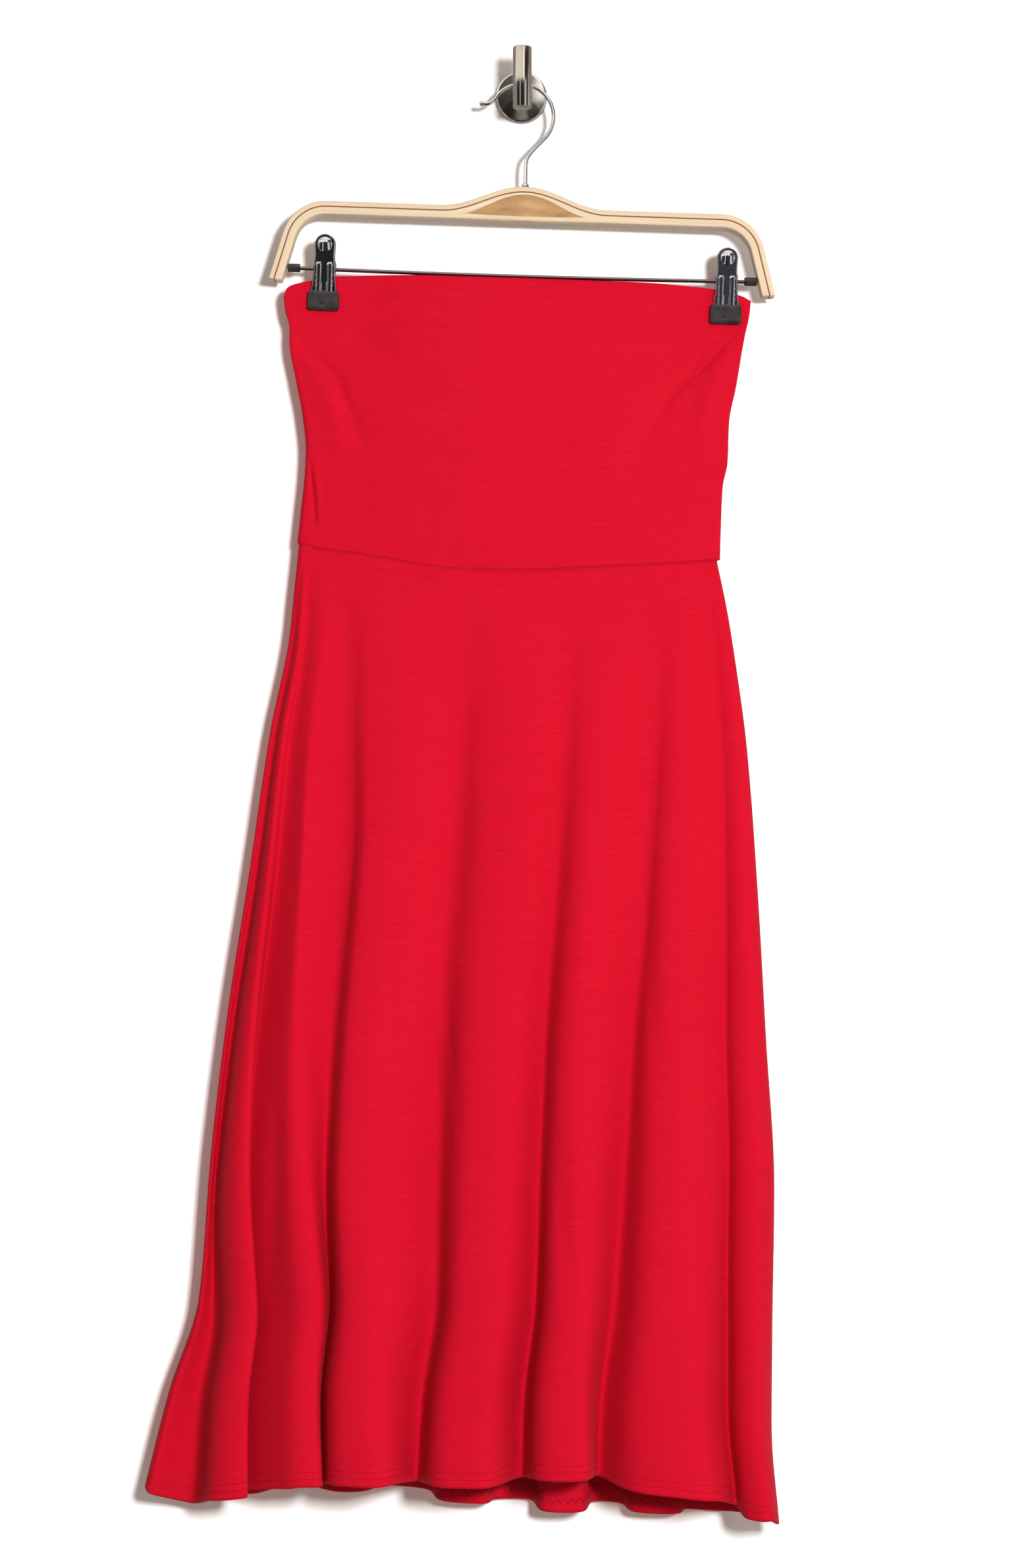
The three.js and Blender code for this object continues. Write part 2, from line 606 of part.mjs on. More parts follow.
// A plate's front outline: a tapering body with a rounded head, narrowed by a margin.
function plateOutline(margin, foot) {
  const head = CLIP_HEAD - margin;
  const half = (name) => PLATE_HALF[name] - margin;
  const shape = new THREE.Shape();
  shape.moveTo(-half('foot'), foot);
  shape.lineTo(half('foot'), foot);
  shape.quadraticCurveTo(half('hollow'), -NECK_UP, half('rod'), 0);
  shape.quadraticCurveTo(half('neck'), NECK_UP, head, CLIP_HEAD_UP);
  shape.absarc(0, CLIP_HEAD_UP, head, 0, Math.PI, false);
  shape.quadraticCurveTo(-half('neck'), NECK_UP, -half('rod'), 0);
  shape.quadraticCurveTo(-half('hollow'), -NECK_UP, -half('foot'), foot);
  return shape;
}

function softBump(x, z, width, depth, height) {
  const geometry = new THREE.SphereGeometry(0.5, 12, 6);
  geometry.scale(width, depth, height);
  geometry.translate(x, -PLATE_OUT, z);
  return toSolid(geometry);
}

function leanOut(geometry) {
  const place = geometry.attributes.position;
  for (let i = 0; i < place.count; i += 1) {
    place.setY(i, place.getY(i) - PLATE_LEAN * place.getZ(i));
  }
  return geometry;
}

// One pressed plate with turned-in flanges, an embossed dome, two long ribs, a tongue for the
// pad and two ears that the rod passes through. narrow sets the back plate inside the front one.
function clipPlate(narrow) {
  const foot = -CLIP_JAW_DOWN + PAD_HEIGHT + SEAM_GAP;
  const cut = narrow + PLATE;
  const pan = toSolid(slab(plateOutline(narrow, foot), PLATE_OUT - FLANGE, PLATE_OUT, 4));
  const inside = slab(plateOutline(cut, foot - PLATE), PLATE_OUT - 2 * FLANGE, PLATE_OUT - PLATE, 4);
  const tongue = block(0, PLATE_OUT - PLATE / 2, foot - TONGUE_DROP, TONGUE.width, PLATE, TONGUE.height);
  let plate = pan.subtract(toSolid(inside)).add(toSolid(tongue));
  plate = plate.add(softBump(0, CLIP_HEAD_UP, DOME.width, DOME.depth, DOME.width));
  for (const side of [-1, 1]) {
    const rib = new THREE.CapsuleGeometry(RIB.radius, RIB.length, 2, 6);
    rib.rotateX(Math.PI / 2);
    rib.scale(1, RIB.flat, 1);
    rib.translate(side * RIB.x, -PLATE_OUT, RIB.z);
    plate = plate.add(toSolid(rib));
  }
  const leaning = toSolid(leanOut(toGeometry(plate)));
  const earX = PLATE_HALF.rod - narrow - PLATE / 2;
  const earDepth = PLATE_OUT - PLATE;
  const ears = [-1, 1].map((side) => {
    const web = toSolid(block(side * earX, earDepth / 2, 0, PLATE, earDepth, EAR.height));
    const lobe = ringAlongX(0, EAR.radius, PLATE, 14);
    lobe.translate(side * earX, 0, 0);
    return web.add(toSolid(lobe));
  });
  const boreRadius = ROD_RADIUS + ROD_PLAY;
  const bore = new THREE.CylinderGeometry(boreRadius, boreRadius, 2 * PAD_WIDTH, 12);
  bore.rotateZ(Math.PI / 2);
  return leaning.add(ears[0]).add(ears[1]).subtract(toSolid(bore));
}

function clipPad() {
  const foot = -CLIP_JAW_DOWN;
  const top = foot + PAD_HEIGHT;
  const wide = PAD_WIDTH / 2 - PAD_CORNER;
  const slim = wide - PAD_TAPER;
  const shape = new THREE.Shape();
  shape.moveTo(-wide, foot);
  shape.absarc(wide, foot + PAD_CORNER, PAD_CORNER, -Math.PI / 2, 0, false);
  shape.absarc(slim, top - PAD_CORNER, PAD_CORNER, 0, Math.PI / 2, false);
  shape.absarc(-slim, top - PAD_CORNER, PAD_CORNER, Math.PI / 2, Math.PI, false);
  shape.absarc(-wide, foot + PAD_CORNER, PAD_CORNER, Math.PI, 1.5 * Math.PI, false);
  const inner = CLOTH + 1.5 * SEAM_GAP;
  const body = toSolid(slab(shape, inner, inner + PAD_DEPTH, 4));
  const play = 2 * SEAM_GAP;
  const pocket = block(
    0,
    PLATE_OUT - PLATE / 2,
    top - TONGUE_DROP,
    TONGUE.width + play,
    PLATE + play,
    TONGUE.height + play,
  );
  return body.subtract(toSolid(leanOut(pocket)));
}

function buildClip(side) {
  const clip = new THREE.Group();
  const x = CLIP_XS[side];
  clip.position.set(x, -HANG_OUT, rodHeight(x));
  const mirrored = (solid) => toGeometry(solid.mirror([0, 1, 0]));
  const chrome = 0xcfd0d4;
  addPiece(clip, `clip_${side}_front_plate`, toGeometry(clipPlate(0)), chrome, 0.12, 1);
  addPiece(clip, `clip_${side}_back_plate`, mirrored(clipPlate(BACK_INSET)), chrome, 0.12, 1);
  addPiece(clip, `clip_${side}_front_pad`, toGeometry(clipPad()), 0x17171a, 0.6);
  addPiece(clip, `clip_${side}_back_pad`, mirrored(clipPad()), 0x17171a, 0.6);
  const spring = ringAlongX(ROD_RADIUS + ROD_PLAY, SPRING.radius, SPRING.length, 12);
  addPiece(clip, `clip_${side}_spring`, spring, 0xb9babd, 0.3, 1);
  return clip;
}

// Wall hook

function buildWallHook() {
  const hook = new THREE.Group();
  const plate = turned([
    [0, 0],
    [PLATE_RADIUS, 0],
    [PLATE_RADIUS, PLATE_THICK - PLATE_RIM.side],
    [PLATE_RADIUS - PLATE_RIM.out, PLATE_THICK - PLATE_RIM.top],
    [PLATE_RADIUS - PLATE_RIM.face, PLATE_THICK],
    [0, PLATE_THICK],
  ], 36);
  plate.rotateX(Math.PI);
  addPiece(hook, 'wall_plate', plate, 0xb4b0a8, 0.35, 1);

  const pegLength = WALL_BAR_OUT - WALL_BAR_RADIUS - PLATE_THICK - 2 * SEAM_GAP;
  const peg = new THREE.CylinderGeometry(PEG_RADIUS, PEG_RADIUS, pegLength, 20);
  peg.translate(0, -(PLATE_THICK + SEAM_GAP + pegLength / 2), -PEG_DOWN);
  addPiece(hook, 'wall_peg', peg, 0xb4b0a8, 0.35, 1);

  const half = WALL_BAR_LENGTH / 2;
  const bar = turned([
    [0, -half],
    [WALL_BAR_RADIUS - WALL_BAR_CHAMFER, -half],
    [WALL_BAR_RADIUS, -half + WALL_BAR_CHAMFER],
    [WALL_BAR_RADIUS, half - WALL_BAR_CHAMFER],
    [WALL_BAR_RADIUS - WALL_BAR_CHAMFER, half],
    [0, half],
  ], 24);
  bar.rotateX(Math.PI / 2);
  bar.translate(0, -WALL_BAR_OUT, WALL_BAR_UP);
  addPiece(hook, 'wall_bar', bar, 0xb4b0a8, 0.3, 1);
  return hook;
}

const object = new THREE.Group();
object.add(buildDress());
object.add(buildHanger());
object.add(buildClip('left'));
object.add(buildClip('right'));
object.add(buildWallHook());

export default object;
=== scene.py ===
import bisect
import math
from collections import namedtuple

import bmesh
import bpy
from mathutils import Matrix, Vector


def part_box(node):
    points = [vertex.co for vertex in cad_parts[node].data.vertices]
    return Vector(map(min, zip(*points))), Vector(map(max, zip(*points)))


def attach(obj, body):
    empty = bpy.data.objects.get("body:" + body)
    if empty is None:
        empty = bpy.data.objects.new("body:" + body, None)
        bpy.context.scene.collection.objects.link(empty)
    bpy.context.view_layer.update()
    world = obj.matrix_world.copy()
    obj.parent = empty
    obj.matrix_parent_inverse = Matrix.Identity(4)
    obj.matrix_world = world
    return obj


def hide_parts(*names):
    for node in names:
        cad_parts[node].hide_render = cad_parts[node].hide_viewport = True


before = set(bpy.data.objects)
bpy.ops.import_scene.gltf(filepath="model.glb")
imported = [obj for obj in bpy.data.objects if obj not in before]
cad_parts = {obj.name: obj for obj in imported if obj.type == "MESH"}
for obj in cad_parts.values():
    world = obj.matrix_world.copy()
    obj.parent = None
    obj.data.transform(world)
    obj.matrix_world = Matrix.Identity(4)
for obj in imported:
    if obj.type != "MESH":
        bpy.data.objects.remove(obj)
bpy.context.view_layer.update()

# Camera: it stands 1.87 m from the wall, level and square to it, where the photograph was taken. The long
# side of the picture is upright, and everything is in focus.
lens = bpy.data.cameras.new("portrait_lens")
lens.lens = 50
lens.sensor_width = 36
camera = bpy.data.objects.new("camera", lens)
camera.location = (-0.0088, -1.868, -0.588)
camera.rotation_euler = (math.radians(90), 0, 0)
scene = bpy.context.scene
scene.collection.objects.link(camera)
scene.camera = camera
scene.view_settings.view_transform = "Standard"


# Studio: a white wall just behind the dress, clear from behind so that the back can be looked at, and a
# pale floor. The main light is small and stands to the right of the camera, a weak large one fills from the
# right, and a dim room around them lights what is soft and is mirrored in what is bright.
wall_white = (0.80, 0.79, 0.785)
wall_in_metal = (0.22, 0.205, 0.195)
wall_width = 5
wall_height = 3
wall_gap = 0.0004            # from the back of the hook's plate to the wall
floor_pale = (0.8, 0.79, 0.77)
floor_side = 12
floor_level = -1.36
main_light_place = Vector((0.55, -2.0, -0.236))
main_light_aim = Vector((0.0, 0.0, -0.66))
fill_place = Vector((1.7, -0.85, -0.45))
fill_aim = Vector((0, 0, -0.75))


def add_node(tree, kind, sockets=None, **settings):
    """Adds a shader node, sets its own properties, and links or sets its input sockets."""
    node = tree.nodes.new("ShaderNode" + kind)
    for key, value in settings.items():
        setattr(node, key, value)
    for key, value in (sockets or {}).items():
        if isinstance(value, bpy.types.NodeSocket):
            tree.links.new(value, node.inputs[key])
        else:
            node.inputs[key].default_value = value
    return node


def math_node(tree, operation, first, second=0.0, third=0.0):
    return add_node(tree, "Math", {0: first, 1: second, 2: third}, operation=operation).outputs[0]


def mix_colors(tree, share, first, second, blend="MIX"):
    sockets = {"Factor": share, 6: first, 7: second}
    return add_node(tree, "Mix", sockets, data_type="RGBA", blend_type=blend).outputs[2]


def ramp_node(tree, shade, stops):
    """A smooth run of colours over a mask: stops are (place, colour) from 0 to 1."""
    node = add_node(tree, "ValToRGB", {"Fac": shade})
    node.color_ramp.interpolation = "EASE"
    while len(node.color_ramp.elements) < len(stops):
        node.color_ramp.elements.new(0.5)
    for element, (place, color) in zip(node.color_ramp.elements, stops):
        element.position = place
        element.color = (*color, 1)
    return node.outputs["Color"]


def new_material(name, roughness, specular):
    """A material with its node tree and its shader, of which the uniform values are set here."""
    material = bpy.data.materials.new(name)
    material.use_nodes = True
    tree = material.node_tree
    shader = tree.nodes["Principled BSDF"]
    shader.inputs["Roughness"].default_value = roughness
    shader.inputs["Specular IOR Level"].default_value = specular
    return material, tree, shader


def studio_plane(name, width, height, place, turn, material, in_metal):
    bm = bmesh.new()
    matrix = Matrix.Translation(place) @ turn @ Matrix.Diagonal((width, height, 1, 1))
    bmesh.ops.create_grid(bm, x_segments=1, y_segments=1, size=0.5, matrix=matrix)
    mesh = bpy.data.meshes.new(name)
    bm.to_mesh(mesh)
    bm.free()
    mesh.materials.append(material)
    plane = bpy.data.objects.new(name, mesh)
    plane.visible_shadow = False
    plane.visible_diffuse = False
    plane.visible_glossy = in_metal
    scene.collection.objects.link(plane)


wall_paint, tree, paint = new_material("wall_paint", 0.95, 0.1)
in_metal = add_node(tree, "LightPath").outputs["Is Glossy Ray"]
wall_color = mix_colors(tree, in_metal, (*wall_white, 1), (*wall_in_metal, 1))
tree.links.new(wall_color, paint.inputs["Base Color"])
from_behind = add_node(tree, "NewGeometry").outputs["Backfacing"]
clear = add_node(tree, "BsdfTransparent").outputs[0]
one_sided = add_node(tree, "MixShader", {0: from_behind, 1: paint.outputs[0], 2: clear}).outputs[0]
tree.links.new(one_sided, tree.nodes["Material Output"].inputs["Surface"])
floor_paint, tree, paint = new_material("floor_paint", 0.95, 0.1)
paint.inputs["Base Color"].default_value = (*floor_pale, 1)

studio_plane(
    "studio_wall", wall_width, wall_height, (0, wall_gap, floor_level + wall_height / 2),
    Matrix.Rotation(math.radians(90), 4, "X"), wall_paint, in_metal=True,
)
studio_plane(
    "studio_floor", floor_side, floor_side, (0, 0, floor_level), Matrix.Identity(4), floor_paint,
    in_metal=False,
)


def soft_light(name, place, aim, size, watts, even):
    """A square soft light. An even one doesn't weaken with distance, as a large one far away would."""
    data = bpy.data.lights.new(name, "AREA")
    data.shape = "SQUARE"
    data.size = size
    data.energy = watts
    if even:
        data.use_nodes = True
        tree = data.node_tree
        falloff = add_node(tree, "LightFalloff", {"Strength": 1 / (aim - place).length_squared})
        tree.links.new(falloff.outputs["Constant"], tree.nodes["Emission"].inputs["Strength"])
    light = bpy.data.objects.new(name, data)
    light.location = place
    light.rotation_euler = (aim - place).to_track_quat("-Z", "Y").to_euler()
    light.visible_camera = False
    light.visible_glossy = False
    scene.collection.objects.link(light)


soft_light("main_light", main_light_place, main_light_aim, size=0.25, watts=55, even=True)
soft_light("right_fill", fill_place, fill_aim, size=1.3, watts=8, even=False)

world = bpy.data.worlds.new("studio_room")
scene.world = world
world.use_nodes = True
room = world.node_tree
looking = add_node(room, "SeparateXYZ", {0: add_node(room, "TexCoord").outputs["Generated"]})
sideways = math_node(room, "MULTIPLY_ADD", looking.outputs["X"], 0.5, 0.5)


def room_light(color, strength=1.0):
    return add_node(room, "Background", {"Color": color, "Strength": strength}).outputs[0]


def mix_light(share, first, second):
    return add_node(room, "MixShader", {0: share, 1: first, 2: second}).outputs[0]


# How bright the room is from its left to its right, first as it lights soft surfaces and then as metal
# shows it.
front_ambient = room_light(ramp_node(room, sideways, [
    (0.0, (0.36, 0.308, 0.275)), (0.5, (0.45, 0.385, 0.345)), (1.0, (0.40, 0.355, 0.325)),
]))
back_ambient = room_light(ramp_node(room, sideways, [
    (0.0, (0.7, 0.69, 0.68)), (0.5, (1.25, 1.25, 1.25)), (1.0, (1.0, 1.0, 1.0)),
]))
overhead = room_light((1.0, 0.99, 0.97, 1), 0.45)
low_room = room_light(ramp_node(room, sideways, [
    (0.0, (0.45, 0.45, 0.45)), (0.07, (0.04, 0.04, 0.04)), (0.26, (0.03, 0.03, 0.03)),
    (0.29, (1.6, 1.5, 1.4)), (0.33, (0.03, 0.03, 0.03)), (0.50, (0.02, 0.02, 0.02)),
    (0.54, (0.05, 0.055, 0.065)), (0.60, (0.03, 0.03, 0.03)), (0.70, (0.03, 0.03, 0.03)),
    (0.76, (0.8, 0.8, 0.82)), (0.87, (0.7, 0.7, 0.72)), (0.90, (0.05, 0.05, 0.05)),
    (0.96, (0.05, 0.05, 0.05)), (1.0, (0.8, 0.8, 0.8)),
]))
high_room = room_light(ramp_node(room, sideways, [
    (0.0, (1.25, 1.16, 1.08)), (0.10, (1.20, 1.10, 1.01)), (0.53, (1.25, 1.14, 1.03)),
    (0.555, (0.20, 0.17, 0.15)), (0.58, (0.20, 0.17, 0.15)), (0.61, (2.8, 2.75, 2.7)),
    (0.68, (2.4, 2.35, 2.3)), (0.72, (0.06, 0.045, 0.035)), (0.94, (0.06, 0.045, 0.035)),
    (0.97, (0.5, 0.48, 0.46)), (1.0, (0.7, 0.68, 0.66)),
]))
backdrop = room_light((0.93, 0.93, 0.92, 1))

# The way a ray looks picks its part of the room: behind the wall, upward, or the band above eye level.
behind = add_node(room, "MapRange", {0: looking.outputs["Y"], 1: 0.1, 2: 0.5}).outputs[0]
upward = add_node(room, "MapRange", {0: looking.outputs["Z"], 1: 0.6, 2: 0.85}).outputs[0]
high_band = ramp_node(room, looking.outputs["Z"], [
    (0.24, (0, 0, 0)), (0.27, (1, 1, 1)), (0.60, (1, 1, 1)), (0.78, (0, 0, 0)),
])
ambient = mix_light(upward, mix_light(behind, front_ambient, back_ambient), overhead)
mirrored = mix_light(behind, mix_light(high_band, low_room, high_room), back_ambient)
mirrored = mix_light(upward, mirrored, back_ambient)
ray = add_node(room, "LightPath")
lit = mix_light(ray.outputs["Is Glossy Ray"], ambient, mirrored)
seen = mix_light(ray.outputs["Is Camera Ray"], lit, backdrop)
room.links.new(seen, room.nodes["World Output"].inputs["Surface"])


# Bodice: a tube of slub jersey with a folded top edge, cut as a front and a back panel that are sewn together
# at the sides and to the skirt at the waist. The clips press it flat near its corners.
cloth_half = 0.0008          # from the middle of a layer of cloth to its face
cloth_thickness = 0.0013
clip_clearance = 0.0002      # between the two layers where a clip presses them together
hang_out = 0.0255            # plane between the two layers, from the wall
waist_round = 0.004
top_round = 0.0026
front_belly = 0.012
front_belly_top = 0.005
back_belly = 0.009
back_belly_top = 0.004
back_waist_drop = 0.008
back_top_drop = 0.003
pinch_across = (0.016, 0.085)  # how far a clip's pinch holds in full, and where it has ended
pinch_below = (0.006, 0.105)
waist_groove = 0.00010       # how far the cloth rolls in at the waist seam
groove_width = 0.0013
crease_inset = 0.012         # creases start this far in from the side folds
crease_reach = 2.6           # widths of a crease past which it is no longer felt
crease_taper = 0.8
bodice_length = 0.245
bodice_width = 0.375
bodice_columns = 150
bodice_rows = 110

SideRow = namedtuple("SideRow", "down left right")
EdgeRow = namedtuple("EdgeRow", "x z")
Crease = namedtuple("Crease", "path width depth")

bodice_sides = [
    SideRow(0.00, -0.2005, 0.1935),
    SideRow(0.06, -0.1990, 0.1920),
    SideRow(0.13, -0.1953, 0.1886),
    SideRow(0.18, -0.1956, 0.1865),
    SideRow(0.33, -0.1904, 0.1810),
    SideRow(0.47, -0.1849, 0.1750),
    SideRow(0.62, -0.1816, 0.1738),
    SideRow(0.72, -0.1826, 0.1696),
    SideRow(0.88, -0.1861, 0.1680),
    SideRow(1.00, -0.1888, 0.1673),
]
top_edge = [
    EdgeRow(-0.2005, -0.1755),
    EdgeRow(-0.1990, -0.1702),
    EdgeRow(-0.1960, -0.1672),
    EdgeRow(-0.1900, -0.1650),
    EdgeRow(-0.1788, -0.1627),
    EdgeRow(-0.1530, -0.1589),
    EdgeRow(-0.1250, -0.1586),
    EdgeRow(-0.0066, -0.1616),
    EdgeRow(0.0600, -0.1638),
    EdgeRow(0.1130, -0.1655),
    EdgeRow(0.1500, -0.1683),
    EdgeRow(0.1650, -0.1703),
    EdgeRow(0.1860, -0.1755),
    EdgeRow(0.1935, -0.1795),
]
waist_seam = [
    EdgeRow(-0.1888, -0.3844),
    EdgeRow(-0.1700, -0.3895),
    EdgeRow(-0.1398, -0.3935),
    EdgeRow(-0.0950, -0.4015),
    EdgeRow(-0.0560, -0.4072),
    EdgeRow(0.0046, -0.4080),
    EdgeRow(0.0780, -0.4045),
    EdgeRow(0.1270, -0.4018),
    EdgeRow(0.1673, -0.3985),
]

# Drag lines that run down from the clips, and the tuck at the left side. Paths are (x, z), and a depth
# below zero is a ridge.
bodice_front_creases = [
    Crease([(-0.2010, -0.2060), (-0.1782, -0.2226), (-0.1670, -0.2353), (-0.1558, -0.2450),
            (-0.1502, -0.2618), (-0.1404, -0.2841), (-0.1307, -0.3064)], 0.0052, 0.0028),
    Crease([(-0.1900, -0.2250), (-0.1750, -0.2420), (-0.1640, -0.2600), (-0.1560, -0.2850),
            (-0.1500, -0.3150)], 0.0080, -0.0020),
    Crease([(-0.1502, -0.2059), (-0.1083, -0.2309), (-0.0637, -0.2506)], 0.0085, 0.0017),
    Crease([(-0.1500, -0.2550), (-0.1330, -0.2900), (-0.1250, -0.3400)], 0.0160, 0.0014),
    Crease([(0.1960, -0.1880), (0.1850, -0.1989), (0.1654, -0.2171), (0.1431, -0.2422),
            (0.1263, -0.2590), (0.1151, -0.2757), (0.1040, -0.3009)], 0.0056, 0.0034),
    Crease([(0.1860, -0.2080), (0.1710, -0.2310), (0.1570, -0.2646), (0.1510, -0.2953),
            (0.1480, -0.3250)], 0.0090, -0.0030),
    Crease([(0.1250, -0.2500), (0.1050, -0.2950), (0.1000, -0.3250), (0.1100, -0.3650)], 0.0180, 0.0024),
    Crease([(0.1180, -0.2050), (0.0900, -0.2300), (0.0560, -0.2440)], 0.0080, 0.0006),
    Crease([(-0.1800, -0.3060), (-0.1782, -0.3240), (-0.1752, -0.3450), (-0.1737, -0.3720)], 0.0016, 0.0048),
    Crease([(-0.1745, -0.3080), (-0.1722, -0.3400), (-0.1700, -0.3760)], 0.0036, -0.0009),
    Crease([(-0.0900, -0.3050), (-0.0300, -0.3200), (0.0500, -0.3150)], 0.0200, 0.0005),
    Crease([(0.0300, -0.3600), (0.0900, -0.3480), (0.1400, -0.3300)], 0.0150, 0.0005),
]
bodice_back_creases = [
    Crease([(-0.1880, -0.2110), (-0.1600, -0.2360), (-0.1380, -0.2700)], 0.0055, 0.0014),
    Crease([(-0.1350, -0.2070), (-0.1000, -0.2300), (-0.0600, -0.2460)], 0.0075, 0.0008),
    Crease([(0.1800, -0.2050), (0.1560, -0.2300), (0.1320, -0.2620), (0.1200, -0.3000)], 0.0055, 0.0014),
    Crease([(0.1250, -0.2080), (0.0900, -0.2280), (0.0400, -0.2420)], 0.0080, 0.0007),
    Crease([(-0.1500, -0.3400), (-0.0900, -0.3560), (-0.0100, -0.3600)], 0.0180, 0.0007),
    Crease([(0.0200, -0.3200), (0.0900, -0.3320), (0.1500, -0.3560)], 0.0150, 0.0006),
]


def lerp(a, b, share):
    return a + (b - a) * share


def ease(share):
    share = min(1.0, max(0.0, share))
    return share * share * (3 - 2 * share)


def fade(distance, full_none):
    full, none = full_none
    return 1 - ease((distance - full) / (none - full))


def hermite(a, b, slope_a, slope_b, share):
    bent = share * (1 - share) * ((1 - share) * slope_a - share * slope_b)
    return a + (b - a) * share * share * (3 - 2 * share) + bent


def steady_slope(before, after):
    """Slope at a point between two rises: none where they turn, so that a curve never overshoots."""
    return 0.0 if before * after <= 0 else 2 * before * after / (before + after)


def average_slope(before, after):
    return (before + after) / 2


def curve_through(rows, along, value):
    """A smooth function through two named columns of a table."""
    places = [getattr(row, along) for row in rows]
    values = [getattr(row, value) for row in rows]
    steps = [b - a for a, b in zip(places, places[1:])]
    rises = [(b - a) / step for a, b, step in zip(values, values[1:], steps)]
    slopes = [rises[0], *map(steady_slope, rises, rises[1:]), rises[-1]]

    def read(at):
        at = min(places[-1], max(places[0], at))
        i = min(bisect.bisect_right(places, at), len(steps)) - 1
        share = (at - places[i]) / steps[i]
        return hermite(values[i], values[i + 1], slopes[i] * steps[i], slopes[i + 1] * steps[i], share)

    return read


bodice_left = curve_through(bodice_sides, "down", "left")
bodice_right = curve_through(bodice_sides, "down", "right")
top_line = curve_through(top_edge, "x", "z")
waist_line = curve_through(waist_seam, "x", "z")


def bulge(x, rows):
    """From 0 at the ends of an edge to 1 in its middle."""
    across = (x - rows[0].x) / (rows[-1].x - rows[0].x)
    return math.sin(math.pi * min(1.0, max(0.0, across)))


def waist_height(x, front):
    return waist_line(x) - (0.0 if front else back_waist_drop * bulge(x, waist_seam))


def top_height(x, front):
    return top_line(x) - (0.0 if front else back_top_drop * bulge(x, top_edge))


def tube_half(x, left, right, fold, belly):
    """Half the depth of the flattened tube: a round fold at each side, then a gentle belly."""
    edge = max(0.0, min(x - left, right - x))
    turn = math.sqrt(fold ** 2 - (fold - edge) ** 2) if edge < fold else fold
    return turn + belly * math.sin(math.pi * edge / (right - left))


clips = []
for side in ("left", "right"):
    low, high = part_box(f"clip_{side}_front_pad")
    clips.append(namedtuple("Clip", "side x jaw")(side, (low.x + high.x) / 2, low.z))


def clip_pinch(x, z):
    return max(fade(abs(x - clip.x), pinch_across) * fade(clip.jaw - z, pinch_below) for clip in clips)


def crease_drop(creases, x, z):
    """How far creases press a point of the cloth in. A crease fades out toward both of its ends."""
    drop = 0.0
    for crease in creases:
        reach = crease_reach * crease.width
        xs = [point[0] for point in crease.path]
        zs = [point[1] for point in crease.path]
        if not (min(xs) - reach < x < max(xs) + reach and min(zs) - reach < z < max(zs) + reach):
            continue
        nearest, place = 1.0, 0.0
        legs = len(crease.path) - 1
        for i, ((ax, az), (bx, bz)) in enumerate(zip(crease.path, crease.path[1:])):
            run = (bx - ax) ** 2 + (bz - az) ** 2
            share = min(1.0, max(0.0, ((x - ax) * (bx - ax) + (z - az) * (bz - az)) / run))
            distance = math.hypot(x - lerp(ax, bx, share), z - lerp(az, bz, share))
            if distance < nearest:
                nearest, place = distance, (i + share) / legs
        along = math.sin(math.pi * place) ** crease_taper
        drop += crease.depth * math.exp(-((nearest / crease.width) ** 2)) * along
    return drop


def seam_groove(above):
    """How far the cloth rolls in at a height above the waist seam."""
    return waist_groove * math.exp(-((above / groove_width) ** 2))


def bodice_point(place, down):
    """A point of the ring of cloth: 0 to 1 along the front from the left, then 1 to 2 along the back."""
    front = place % 2 < 1
    across = (1 - math.cos(math.pi * place)) / 2
    left, right = bodice_left(down), bodice_right(down)
    top_x = lerp(bodice_left(0), bodice_right(0), across)
    waist_x = lerp(bodice_left(1), bodice_right(1), across)
    x = lerp(left, right, across)
    z = lerp(top_height(top_x, front), waist_height(waist_x, front), down)
    belly = lerp(front_belly_top, front_belly, down) if front else lerp(back_belly_top, back_belly, down)
    half = tube_half(x, left, right, lerp(top_round, waist_round, down), belly)
    pressed = min(half, cloth_half + clip_clearance)
    depth = lerp(half, pressed, clip_pinch(x, z))
    inside = ease(min(x - left, right - x) / crease_inset)
    depth -= inside * crease_drop(bodice_front_creases if front else bodice_back_creases, x, z)
    depth -= inside * seam_groove(z - waist_height(waist_x, front))
    return Vector((x, -(hang_out + (depth if front else -depth)), z))


def finished(name, bm, material):
    """Makes an object of a finished mesh, shaded smooth."""
    mesh = bpy.data.meshes.new(name)
    bm.to_mesh(mesh)
    bm.free()
    mesh.shade_smooth()
    mesh.materials.append(material)
    piece = bpy.data.objects.new(name, mesh)
    scene.collection.objects.link(piece)
    return piece


def cloth_panel(name, columns, downs, place_at, point_at, flat_at, thick_from):
    """A panel of jersey on its surface, its thickness turned inward, doubled where its hem is turned."""
    bm = bmesh.new()
    flat = bm.loops.layers.uv.new("flat_cut")
    bmesh.ops.create_grid(bm, x_segments=columns, y_segments=len(downs) - 1, size=0.5)
    shares = {}
    for vert in bm.verts:
        row = round((0.5 - vert.co.y) * (len(downs) - 1))
        shares[vert] = (vert.co.x + 0.5, downs[row])
    for vert, (across, down) in shares.items():
        vert.co = point_at(place_at(across), down)
    for face in bm.faces:
        for loop in face.loops:
            loop[flat].uv = flat_at(*shares[loop.vert])
    bm.normal_update()
    for vert in bm.verts:
        vert.co += vert.normal * cloth_half
    bm.verts.index_update()
    thick = [vert.index for vert, (across, down) in shares.items() if down >= thick_from]
    panel = finished(name, bm, jersey)
    group = panel.vertex_groups.new(name="turned_edge")
    group.add(thick, 1.0, "REPLACE")
    wall = panel.modifiers.new("thickness", "SOLIDIFY")
    wall.thickness = 2 * cloth_thickness
    wall.offset = -1
    wall.vertex_group = group.name
    wall.thickness_vertex_group = 0.5
    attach(panel, "root")
    return panel


